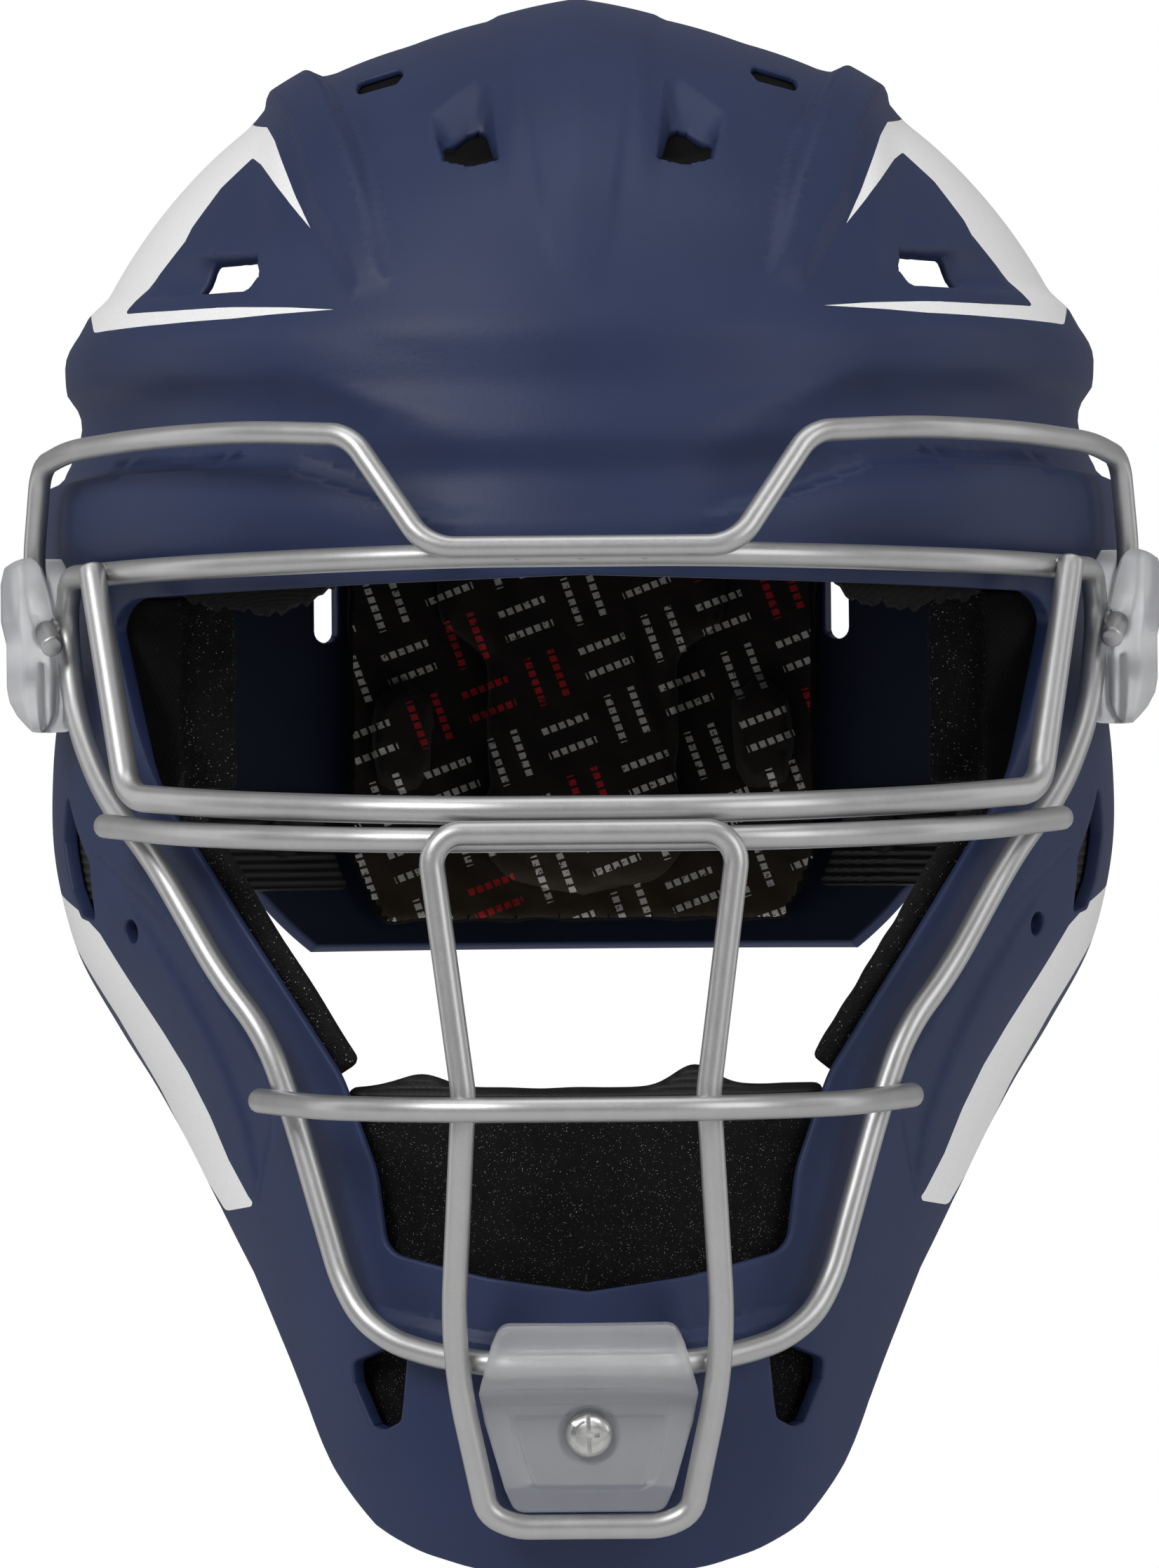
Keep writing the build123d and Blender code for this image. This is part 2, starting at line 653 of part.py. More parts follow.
# Screws and their flanged nuts inside the shell
nut_seat_depth = 4.9
nut_barrel_length = 3.4
side_face_x = level(side_screw_z)[0] * sqrt(1 - (side_screw_y / (front_reach + clip_wall)) ** 2)
side_nut_seat = side_face_x - nut_seat_depth
chin_nut_seat = -chin_face.Y - shell_wall - seat_gap


def flanged_nut(seat_plane):
    """A flange inside the wall and a barrel that stands in the wall's hole."""
    with BuildPart() as nut:
        with BuildSketch(seat_plane):
            Circle(nut_flange_diameter / 2)
        extrude(amount=-nut_flange_height)
        with BuildSketch(seat_plane):
            Circle(nut_barrel_diameter / 2)
        extrude(amount=nut_barrel_length)
        with BuildSketch(seat_plane.offset(-nut_flange_height)):
            Circle(screw_diameter / 2 + screw_clearance / 2)
        extrude(amount=nut_flange_height + nut_barrel_length, mode=Mode.SUBTRACT)
    return nut.part


def truss_screw(head_plane, length):
    """A low round head on a plain shank."""
    with BuildPart() as screw:
        with BuildSketch(head_plane):
            Circle(screw_head_diameter / 2)
        extrude(amount=screw_head_height)
        rim = screw.edges().filter_by(GeomType.CIRCLE).sort_by(SortBy.DISTANCE)[-1:]
        fillet(rim, screw_head_height * 0.6)
        with BuildSketch(head_plane):
            Circle(screw_diameter / 2)
        extrude(amount=-length)
    return screw.part


side_planes = [
    Plane(origin=(side * side_nut_seat, side_screw_y, side_screw_z), z_dir=(side, 0, 0)) for side in (-1, 1)
]
with BuildPart() as side_clip_nuts:
    for plane in side_planes:
        add(flanged_nut(plane))
with BuildPart() as side_clip_screws:
    for plane in side_planes:
        add(truss_screw(
            plane.offset(side_screw_seat - side_nut_seat),
            side_screw_seat - side_nut_seat + nut_flange_height,
        ))
chin_plane = Plane(origin=(0, -chin_nut_seat, chin_screw_z), z_dir=(0, -1, 0))
chin_head_rise = -plate_front_y - screw_well_depth - chin_nut_seat
with BuildPart() as chin_clip_nut:
    add(flanged_nut(chin_plane))
with BuildPart() as chin_clip_screw:
    add(truss_screw(chin_plane.offset(chin_head_rise), chin_head_rise + nut_flange_height))

with BuildPart() as nut_holes:
    for plane in side_planes + [chin_plane]:
        with BuildSketch(plane.offset(-nut_barrel_length)):
            Circle(nut_barrel_diameter / 2 + screw_clearance)
        extrude(amount=nut_barrel_length * 4)

with BuildPart() as front_shell:
    add(outer_form)
    add(raised_bands.part)
    add(inner_form, mode=Mode.SUBTRACT)
    add(front_cutters, mode=Mode.SUBTRACT)
    add([nut_holes.part, crown_holes.part, head_seats.part], mode=Mode.SUBTRACT)

# Elastic straps between the jaw windows and the rear plate
strap_top = -66.5
strap_width = 21.0
strap_thickness = 1.6
strap_front = -57.0
strap_rear = 92.0
strap_depth = shell_wall + seat_gap
anchor_diameter = 4.0
anchor_head_diameter = 8.6
anchor_head_height = 1.6
anchor_y = 86.0
anchor_gap = 0.5


def wall_plane(y, z, depth):
    """A plane square to the rear wall on the right side, sunk by a depth."""
    rows = stations()
    upper, lower = next((u, w) for u, w in zip(rows, rows[1:]) if u[0] >= z >= w[0])
    above, below = [
        Vector(half * sqrt(1 - ((y - centre) / (rear - centre)) ** 2), y, height)
        for height, half, centre, front, rear in (upper, lower)
    ]
    half, centre, front, rear = lower[1:]
    around = Vector(-half**2 * (y - centre), (rear - centre) ** 2 * below.X, 0)
    normal = around.cross(above - below).normalized()
    spot = below + (above - below) * ((z - lower[0]) / (upper[0] - lower[0]))
    return Plane(origin=spot - normal * depth, x_dir=(above - below).normalized(), z_dir=normal)


def padding(near, far, block):
    """What lies between two depths under the outer form, inside a block."""
    with BuildPart() as foam:
        add(envelope(near))
        add(block, mode=Mode.INTERSECT)
        add(envelope(far), mode=Mode.SUBTRACT)
    return foam.part


def mirrored(part):
    """The same piece on the other side."""
    with BuildPart() as other:
        add(mirror(part, about=Plane.YZ, mode=Mode.PRIVATE))
    return other.part


strap_middle = strap_top - strap_width / 2
strap_plan = [
    (0, strap_front), (crown_half_width + overrun, strap_front), (crown_half_width + overrun, strap_rear),
    (0, strap_rear),
]
with BuildPart() as anchor_shank:
    with BuildSketch(wall_plane(anchor_y, strap_middle, -anchor_head_height)):
        Circle(anchor_diameter / 2 + screw_clearance)
    extrude(amount=-(strap_depth + strap_thickness + 2 * anchor_head_height + seat_gap))
with BuildPart() as elastic_strap:
    add(padding(
        strap_depth, strap_depth + strap_thickness,
        plan_prism(strap_plan, strap_top - strap_width, strap_top),
    ))
    add(anchor_shank.part, mode=Mode.SUBTRACT)
with BuildPart() as strap_anchor:
    with BuildSketch(wall_plane(anchor_y, strap_middle, -anchor_gap)):
        Circle(anchor_head_diameter / 2)
    extrude(amount=anchor_head_height)
    with BuildSketch(wall_plane(anchor_y, strap_middle, -anchor_gap)):
        Circle(anchor_diameter / 2)
    extrude(amount=-(strap_depth + strap_thickness + 2 * anchor_gap))
    with BuildSketch(wall_plane(anchor_y, strap_middle, strap_depth + strap_thickness + anchor_gap)):
        Circle(anchor_head_diameter / 2)
    extrude(amount=-anchor_head_height)

with BuildPart() as rear_plate:
    add(rear_shell.part)
    add([crown_slots.part, anchor_shank.part, mirrored(anchor_shank.part)], mode=Mode.SUBTRACT)

# Padding of the front half
pad_seat = shell_wall + seat_gap
liner_thickness = 8.5
liner_half_width = 57.0
liner_front = 92.0
liner_rear = 14.0
liner_low = 17.0
brow_pad_thickness = 11.5
brow_pad_shares = [
    (0.0, 0.072), (0.549, 0.072), (0.708, 0.018), (0.726, -0.115), (0.593, -0.130), (0.354, -0.121),
    (0.0, -0.118),
]
temple_front = 54.0
temple_step = 4.0
temple_rear = 4.0
temple_inner = 72.0
temple_split = 83.0
temple_top = -25.0
temple_bottom = -64.0
jaw_pad_shares = [
    (0.682, -0.315), (0.659, -0.333), (0.405, -0.536), (0.460, -0.558), (0.991, -0.558), (0.991, -0.315),
]
jaw_pad_thickness = 9.0
jaw_pad_setback = 5.0
chin_pad_shares = [(0.0, -0.590), (0.416, -0.590), (0.442, -0.680), (0.442, -0.883), (0.0, -0.892)]
chin_pad_depth = 6.8
chin_pad_thickness = 18.0
chin_pad_rear = 85.0
sling_thickness = 3.0
sling_shares = [
    (0.0, -0.563), (0.420, -0.563), (0.432, -0.587), (0.0, -0.587),
]
sling_back_shares = [(0.0, -0.585), (0.425, -0.585), (0.430, -0.850), (0.0, -0.860)]

with BuildPart() as liner_block:
    with BuildSketch(Plane.XY.offset(liner_low)):
        with Locations((0, (liner_rear - liner_front) / 2)):
            RectangleRounded(2 * liner_half_width, liner_front + liner_rear, liner_half_width / 3)
    extrude(amount=crown_height)
with BuildPart() as crown_liner:
    add(padding(pad_seat, pad_seat + liner_thickness, liner_block.part))
brow_outline = both_sides(scaled(brow_pad_shares, jaw_half_width, chin_drop))
with BuildPart() as brow_pad:
    add(padding(
        pad_seat, pad_seat + brow_pad_thickness,
        front_prism(brow_outline, face_depth, front_reach + overrun),
    ))
temple_plan = [
    (temple_split, -temple_front), (temple_split, temple_step - temple_front),
    (temple_inner, temple_step - temple_front), (temple_inner + temple_step, temple_rear),
    (crown_half_width, temple_rear), (crown_half_width, -temple_front),
]
with BuildPart() as temple_pad:
    add(envelope(pad_seat))
    add(plan_prism(temple_plan, temple_bottom, temple_top), mode=Mode.INTERSECT)
    with BuildSketch(side_planes[1].offset(-nut_flange_height - seat_gap)):
        Circle(nut_flange_diameter / 2 + seat_gap)
    extrude(amount=overrun, mode=Mode.SUBTRACT)
jaw_depth = strap_depth + strap_thickness + seat_gap
with BuildPart() as jaw_pad:
    add(padding(
        jaw_depth, jaw_depth + jaw_pad_thickness,
        front_prism(scaled(jaw_pad_shares, jaw_half_width, chin_drop), 0, front_reach + overrun),
    ))
    jaw_rear = [(y - jaw_pad_setback, z) for y, z in behind_front_shell]
    add(side_prism(jaw_rear, jaw_half_width + overrun), mode=Mode.SUBTRACT)
with BuildPart() as chin_pad:
    add(padding(
        chin_pad_depth, chin_pad_depth + chin_pad_thickness,
        front_prism(
            both_sides(scaled(chin_pad_shares, jaw_half_width, chin_drop)),
            chin_pad_rear, front_reach + overrun,
        ),
    ))
sling_depth = chin_pad_depth + chin_pad_thickness + seat_gap
with BuildPart() as chin_sling:
    add(padding(
        chin_pad_depth, sling_depth + sling_thickness,
        front_prism(
            both_sides(scaled(sling_shares, jaw_half_width, chin_drop)),
            chin_pad_rear, front_reach + overrun,
        ),
    ))
    add(padding(
        sling_depth, sling_depth + sling_thickness,
        front_prism(
            both_sides(scaled(sling_back_shares, jaw_half_width, chin_drop)),
            chin_pad_rear, front_reach + overrun,
        ),
    ))

# Padding of the rear plate
rear_liner_thickness = 7.5
rear_liner_front = 63.0
rear_liner_shares = [
    (0.0, 0.30), (0.33, 0.27), (0.46, 0.10), (0.46, -0.36), (0.40, -0.425), (0.0, -0.425),
]
rear_pad_thickness = 8.0
rear_pad_shares = [
    (0.0, 0.05), (0.25, 0.04), (0.325, -0.05), (0.325, -0.13), (0.235, -0.17), (0.235, -0.29),
    (0.28, -0.34), (0.18, -0.405), (0.0, -0.425),
]
side_lobe_shares = [
    (0.26, -0.175), (0.345, -0.135), (0.45, -0.16), (0.47, -0.25), (0.44, -0.33), (0.30, -0.33),
    (0.26, -0.29),
]
lobe_taper = 12.0


def rear_block(points, taper):
    """An outline in the front view, from behind the rear plate to its padding's inner face."""
    with BuildPart() as block:
        with BuildSketch(Plane.XZ.offset(-rear_reach)):
            with BuildLine():
                Polyline(*points, close=True)
            make_face()
        extrude(amount=rear_reach - rear_liner_front, taper=taper)
    return block.part


pad_base = pad_seat + rear_liner_thickness + seat_gap
with BuildPart() as rear_liner:
    add(padding(
        pad_seat, pad_seat + rear_liner_thickness,
        rear_block(both_sides(scaled(rear_liner_shares, jaw_half_width, chin_drop)), 0),
    ))
with BuildPart() as rear_pad_center:
    add(padding(
        pad_base, pad_base + rear_pad_thickness,
        rear_block(both_sides(scaled(rear_pad_shares, jaw_half_width, chin_drop)), lobe_taper),
    ))
with BuildPart() as rear_pad_side:
    add(padding(
        pad_base, pad_base + rear_pad_thickness,
        rear_block(scaled(side_lobe_shares, jaw_half_width, chin_drop), lobe_taper),
    ))

pieces = {
    "front_shell": front_shell.part,
    "crown_liner": crown_liner.part,
    "brow_pad": brow_pad.part,
    "temple_pad_right": temple_pad.part,
    "temple_pad_left": mirrored(temple_pad.part),
    "jaw_pad_right": jaw_pad.part,
    "jaw_pad_left": mirrored(jaw_pad.part),
    "chin_pad": chin_pad.part,
    "chin_sling": chin_sling.part,
    "side_clip_right": side_clip.part,
    "side_clip_left": other_side_clip.part,
    "chin_clip": chin_clip.part,
    "side_clip_screws": side_clip_screws.part,
    "side_clip_nuts": side_clip_nuts.part,
    "chin_clip_screw": chin_clip_screw.part,
    "chin_clip_nut": chin_clip_nut.part,
    "crown_screws": crown_screws.part,
    "crown_nuts": crown_nuts.part,
    "rear_shell": rear_plate.part,
    "rear_liner": rear_liner.part,
    "rear_pad_center": rear_pad_center.part,
    "rear_pad_right": rear_pad_side.part,
    "rear_pad_left": mirrored(rear_pad_side.part),
    "strap_anchors": strap_anchor.part + mirrored(strap_anchor.part),
    "elastic_strap_right": elastic_strap.part,
    "elastic_strap_left": mirrored(elastic_strap.part),
}
pieces.update(cage)
for name, piece in pieces.items():
    piece.label = name
    export_step(piece, f"parts/{name}.step")
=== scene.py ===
"""The looks of a baseball catcher helmet: painted shells, wire cage, moulded clips, foam and straps.

Lengths are in millimetres until a mesh is written, and the face looks along -Y.
"""

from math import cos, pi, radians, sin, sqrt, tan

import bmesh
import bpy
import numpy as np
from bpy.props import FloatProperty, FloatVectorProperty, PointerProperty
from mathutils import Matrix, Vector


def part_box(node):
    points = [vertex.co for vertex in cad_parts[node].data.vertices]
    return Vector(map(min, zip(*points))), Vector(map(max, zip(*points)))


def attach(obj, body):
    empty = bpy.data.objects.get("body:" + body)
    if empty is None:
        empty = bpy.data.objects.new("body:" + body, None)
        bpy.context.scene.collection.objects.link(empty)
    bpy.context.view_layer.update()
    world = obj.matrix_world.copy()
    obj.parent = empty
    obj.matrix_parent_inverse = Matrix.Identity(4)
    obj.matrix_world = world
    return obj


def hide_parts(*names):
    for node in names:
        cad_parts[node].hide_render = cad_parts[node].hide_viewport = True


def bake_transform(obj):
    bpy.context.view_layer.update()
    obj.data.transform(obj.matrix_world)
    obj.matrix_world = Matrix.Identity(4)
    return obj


bl_info = {
    "name": "Catcher Helmet",
    "version": (1, 0, 0),
    "blender": (4, 5, 0),
    "location": "View3D > Sidebar > Helmet",
    "description": "Builds a catcher helmet with its wire cage, clips, padding and a studio stage",
    "category": "Add Mesh",
}

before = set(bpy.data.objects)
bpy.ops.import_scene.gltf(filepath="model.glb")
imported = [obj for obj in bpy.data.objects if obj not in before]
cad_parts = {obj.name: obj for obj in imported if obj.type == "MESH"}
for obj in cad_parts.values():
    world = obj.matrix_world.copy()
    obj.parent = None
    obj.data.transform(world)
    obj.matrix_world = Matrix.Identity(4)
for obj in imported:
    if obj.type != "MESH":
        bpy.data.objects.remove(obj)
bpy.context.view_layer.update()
MM = 0.001

# Form of the shells, as in the construction: crown rows, then jaw rows
CROWN_HALF_WIDTH, CROWN_HEIGHT, JAW_HALF_WIDTH, CHIN_DROP = 110.5, 101.0, 113.0, 222.0
FRONT_REACH, REAR_REACH = 118.0, 118.0
CROWN_SHARES = [
    (1.0, 0.0, 0.0), (0.86, 0.0, 0.0), (0.74, 0.0, 0.0), (0.60, 0.0, 0.0), (0.46, 0.004, 0.0),
    (0.34, 0.010, 0.004), (0.27, 0.018, 0.008), (0.215, 0.000, 0.000), (0.155, -0.024, -0.008),
    (0.10, -0.014, -0.002), (0.045, 0.010, 0.010),
]
JAW_SHARES = [
    (0.005, 1.000, 0.000, 1.008, 1.000), (0.036, 1.006, 0.000, 1.025, 1.000),
    (0.068, 1.003, 0.000, 1.030, 1.000), (0.100, 0.978, 0.000, 1.030, 1.000),
    (0.144, 0.970, 0.000, 1.030, 0.996), (0.207, 0.984, 0.000, 1.032, 0.987),
    (0.270, 0.996, 0.000, 1.034, 0.970), (0.342, 0.995, 0.025, 1.051, 0.949),
    (0.396, 0.976, 0.059, 1.064, 0.932), (0.450, 0.941, 0.102, 1.076, 0.898),
    (0.518, 0.863, 0.153, 1.093, 0.831), (0.572, 0.795, 0.212, 1.106, 0.746),
    (0.622, 0.750, 0.254, 1.116, 0.644), (0.676, 0.711, 0.297, 1.127, 0.525),
    (0.739, 0.664, 0.360, 1.136, 0.373), (0.806, 0.619, 0.424, 1.144, 0.220),
    (0.905, 0.566, 0.508, 1.136, 0.051), (1.000, 0.491, 0.585, 1.076, -0.085),
]


def form_rows():
    """Height, ring and the half width, centre, front and rear divided by the ring, from the chin up."""
    rows = []
    for rise, side, brow in CROWN_SHARES:
        reach = FRONT_REACH * (1 + brow)
        rows.append((CROWN_HEIGHT * rise, CROWN_HALF_WIDTH * (1 + side), 0.0, -reach, reach))
    for drop, half, centre, front, rear in JAW_SHARES:
        rows.append((-CHIN_DROP * drop, JAW_HALF_WIDTH * half, -FRONT_REACH * centre,
                     -FRONT_REACH * front, REAR_REACH * rear))
    return np.array(rows[::-1])


FORM = form_rows()
# A shell's wall, its least wall where the face is sunk, the radius of its rims and the arcs' steps in a rim
WALL, THINNEST, RIM, RIM_STEPS = 3.2, 1.7, 0.6, 3
# The grid of a sheet: a cell's side, the form's mean radius, and the height of the cap left alone at the pole
CELL, MEAN_RADIUS, POLE_CAP = 1.8, 112.0, 0.1
# How near a cut the faces are taken, how near a corner it snaps to it, the shortest edge kept, and how near
# x = 0 a point joins its twin
SCORE_REACH, SNAP, SLIVER, MIDDLE = 4.0, 0.02, 0.04, 0.05
# Places beyond the shells, for outlines that run off them
PAST_MIDDLE, FAR_OUT, FAR_TOP, FAR_LOW = -3.0, 160.0, 140.0, -260.0


def smooth_table(table, at):
    """Columns of a table read at any place of its first column, along smooth curves."""
    x, y = table[:, 0], table[:, 1:]
    slope = np.diff(y, axis=0) / np.diff(x)[:, None]
    tangent = np.vstack([slope[:1], (slope[1:] + slope[:-1]) / 2, slope[-1:]])
    at = np.clip(at, x[0], x[-1])
    i = np.clip(np.searchsorted(x, at) - 1, 0, len(x) - 2)
    width = (x[i + 1] - x[i])[:, None]
    t = ((at - x[i])[:, None]) / width
    return (
        y[i] * (1 + 2 * t) * (1 - t) ** 2 + y[i + 1] * t * t * (3 - 2 * t)
        + tangent[i] * width * t * (1 - t) ** 2 - tangent[i + 1] * width * t * t * (1 - t)
    )


def sections(z, inset=0.0):
    """Half width, centre, front and rear of the form at each height."""
    z = np.atleast_1d(np.asarray(z, float))
    half, centre, front, rear = smooth_table(FORM, z).T
    ring = np.sqrt(np.clip(1 - (np.clip(z, 0, None) / CROWN_HEIGHT) ** 2, 0, 1))
    deep = np.sqrt(np.clip(1 - (np.clip(z, 0, None) / (CROWN_HEIGHT - inset)) ** 2, 0, 1))
    shrink = np.where(z > 0, deep, 1.0)
    return (half - inset) * shrink, centre, (front + inset) * shrink, (rear - inset) * shrink


def surface(turn, z, inset=0.0):
    """Points of the form from the turn about the vertical, 0 at the face, and the height."""
    half, centre, front, rear = sections(z, inset)
    back = np.cos(turn) < 0
    reach = np.where(back, rear - centre, centre - front)
    return np.stack([half * np.sin(turn), centre - reach * np.cos(turn), z + 0 * turn], axis=-1)


# Outlines
def arcs(points, radii, closed=True, step=1.5):
    """An outline with each corner rounded to its radius, as points a step apart on the arcs."""
    count, out, run_share = len(points), [], 0.48
    for i, corner in enumerate(points):
        if not closed and i in (0, count - 1) or radii[i] <= 0:
            out.append(Vector(corner))
            continue
        corner = Vector(corner)
        before, after = Vector(points[i - 1]) - corner, Vector(points[(i + 1) % count]) - corner
        angle = before.angle(after)
        reach = min(radii[i] / tan(angle / 2), before.length * run_share, after.length * run_share)
        radius = reach * tan(angle / 2)
        middle = corner + (before.normalized() + after.normalized()).normalized() * (radius / sin(angle / 2))
        first, last = corner + before.normalized() * reach, corner + after.normalized() * reach
        turns = max(2, int((pi - angle) * radius / step) + 1)
        for k in range(turns + 1):
            spoke = (first - middle).lerp(last - middle, k / turns)
            out.append(middle + spoke.normalized() * radius)
    return out


def distance(outline, points, closed=True):
    """How far each point lies from an outline, less than zero inside a closed one."""
    a = np.array([tuple(p) for p in outline], float)
    b = np.roll(a, -1, axis=0)
    if not closed:
        a, b = a[:-1], b[:-1]
    least = np.full(len(points), 1e9)
    inside = np.zeros(len(points), bool)
    for p, q in zip(a, b):
        run = q - p
        t = np.clip((points - p) @ run / max(run @ run, 1e-12), 0, 1)
        least = np.minimum(least, np.hypot(*(points - p - t[:, None] * run).T))
        crosses = (p[1] > points[:, 1]) != (q[1] > points[:, 1])
        rise = q[1] - p[1] if q[1] != p[1] else 1e-12
        inside ^= crosses & (points[:, 0] < (points[:, 1] - p[1]) * run[0] / rise + p[0])
    return np.where(inside, -least, least) if closed else least


def grown(outline, by):
    """An outline let out by a distance along its corners' own directions."""
    count, out = len(outline), []
    area = sum(p.x * q.y - q.x * p.y for p, q in zip(outline, outline[1:] + outline[:1]))
    for i, corner in enumerate(outline):
        run = outline[(i + 1) % count] - outline[i - 1]
        side = Vector((run.y, -run.x)).normalized() * (1 if area > 0 else -1)
        out.append(corner + side * by)
    return out


def ease(t):
    """A smooth step from 0 to 1."""
    t = np.clip(t, 0, 1)
    return t * t * (3 - 2 * t)


# Sheets of surface: cut along outlines, raised, painted, then given a wall
VIEWS = {"front": (0, 2), "side": (1, 2), "plan": (0, 1)}


class Sheet:
    """One half of a shell's outer surface, cut along outlines seen from the front, side or above."""

    def __init__(self, inset=0.0, cell=CELL, low=-CHIN_DROP, first=0.0, last=pi):
        self.bm = bmesh.new()
        top = CROWN_HEIGHT - inset
        turns = np.linspace(first, last, int((last - first) * MEAN_RADIUS / cell) + 1)
        rise = top * np.sin(np.linspace(pi / 2, 0, int(top * pi / 2 / cell) + 1))
        drop = np.linspace(0, low, int(-low / cell) + 1)[1:]
        grid = [
            [self.bm.verts.new(p) for p in surface(turns, np.full(len(turns), z), inset)]
            for z in [*rise, *drop]
        ]
        for upper, lower in zip(grid, grid[1:]):
            for a, b, c, d in zip(upper, upper[1:], lower[1:], lower):
                self.bm.faces.new((a, d, c, b))
        bmesh.ops.remove_doubles(self.bm, verts=self.bm.verts[:], dist=1e-4)
        self.bm.normal_update()

    def near(self, outline, view, where):
        """The faces around an outline, as seen in a view, on the side that is meant."""
        u, v = VIEWS[view]
        low = [min(p[k] for p in outline) - SCORE_REACH for k in (0, 1)]
        high = [max(p[k] for p in outline) + SCORE_REACH for k in (0, 1)]
        found = set()
        for face in self.bm.faces:
            c = face.calc_center_median()
            if low[0] < c[u] < high[0] and low[1] < c[v] < high[1] and where(c):
                found.add(face)
        return found

    def score(self, outline, view, where, closed=True):
        """Cut the faces along an outline, and return those around it."""
        across, up = VIEWS[view]
        faces = self.near(outline, view, where)
        ends = outline[1:] + (outline[:1] if closed else [])
        for p, q in zip(outline, ends):
            run = Vector(q) - Vector(p)
            if run.length < 1e-6:
                continue
            close = []
            for face in faces:
                c = face.calc_center_median()
                off = Vector((c[across], c[up])) - Vector(p)
                t = min(max(off.dot(run) / run.length_squared, 0), 1)
                if (off - run * t).length < SCORE_REACH / 2:
                    close.append(face)
            base, normal = Vector((0, 0, 0)), Vector((0, 0, 0))
            base[across], base[up] = p[0], p[1]
            normal[across], normal[up] = run.y, -run.x
            edges, corners = {e for f in close for e in f.edges}, {v for f in close for v in f.verts}
            around = close + list(edges) + list(corners)
            cut = bmesh.ops.bisect_plane(
                self.bm, geom=around, dist=SNAP, plane_co=base, plane_no=normal.normalized()
            )
            faces = {f for f in faces if f.is_valid}
            faces |= {g for g in cut["geom"] if isinstance(g, bmesh.types.BMFace)}
        return faces

    def inside(self, faces, outline, view):
        """Those of the faces whose middle lies inside an outline."""
        faces = list(faces)
        middles = np.array([f.calc_center_median() for f in faces])[:, VIEWS[view]]
        return [f for f, d in zip(faces, distance(outline, middles)) if d < 0]

    def cut(self, outline, view, where):
        """Open the sheet inside an outline, let out by the rim's radius."""
        outline = grown(outline, RIM)
        faces = self.score(outline, view, where)
        bmesh.ops.delete(self.bm, geom=self.inside(faces, outline, view), context="FACES")

    def paint(self, outline, view, where, index):
        """Give the faces inside an outline another finish."""
        for face in self.inside(self.score(outline, view, where), outline, view):
            face.material_index = index

    def keep(self, outline, view):
        """Drop what lies outside an outline, drawn in by the rim's radius."""
        outline = grown(outline, -RIM)
        self.score(outline, view, anywhere)
        wanted = set(self.inside(self.bm.faces[:], outline, view))
        bmesh.ops.delete(self.bm, geom=[f for f in self.bm.faces if f not in wanted], context="FACES")

    def points(self):
        """Every vertex's place, as rows."""
        return np.array([v.co for v in self.bm.verts], float)

    def finish(self, name, wall, lip, materials, raised=None, side=0):
        """Raise the sheet, give it a wall with rounded rims, and make the object.

        With a side of 0 it is mirrored to both halves, and otherwise it is made on the side of that sign.
        """
        bm = self.bm
        below_pole = [e for e in bm.edges if e.verts[0].co.z < CROWN_HEIGHT - POLE_CAP]
        bmesh.ops.dissolve_degenerate(bm, dist=SLIVER, edges=below_pole)
        many = [f for f in bm.faces if len(f.verts) > 4]
        bmesh.ops.triangulate(bm, faces=many, quad_method="BEAUTY", ngon_method="BEAUTY")
        bm.normal_update()
        deep = bm.verts.layers.float_vector.new("deep")
        places = self.points()
        lift = raised(places) if raised else np.zeros(len(places))
        depth = np.maximum(wall, THINNEST - lift)
        for v, by, down in zip(bm.verts, lift, depth):
            v[deep] = v.co - v.normal * down
            v.co = v.co + v.normal * by
            if abs(v.co.x) < MIDDLE:
                v.co.x = 0
                v[deep].x = 0
        left = bm.verts[:] + bm.edges[:] + bm.faces[:] if side < 1 else []
        if side == 0:
            left = bmesh.ops.duplicate(bm, geom=left)["geom"]
        for v in [g for g in left if isinstance(g, bmesh.types.BMVert)]:
            v.co.x *= -1
            v[deep] = Vector((-v[deep].x, v[deep].y, v[deep].z))
        if left:
            bmesh.ops.reverse_faces(bm, faces=[g for g in left if isinstance(g, bmesh.types.BMFace)])
        seam = [v for v in bm.verts if v.co.x == 0]
        bmesh.ops.remove_doubles(bm, verts=seam, dist=MIDDLE / 5)
        bm.normal_update()
        give_wall(bm, deep, lip, len(materials) - 1)
        return mesh_object(name, bm, materials)


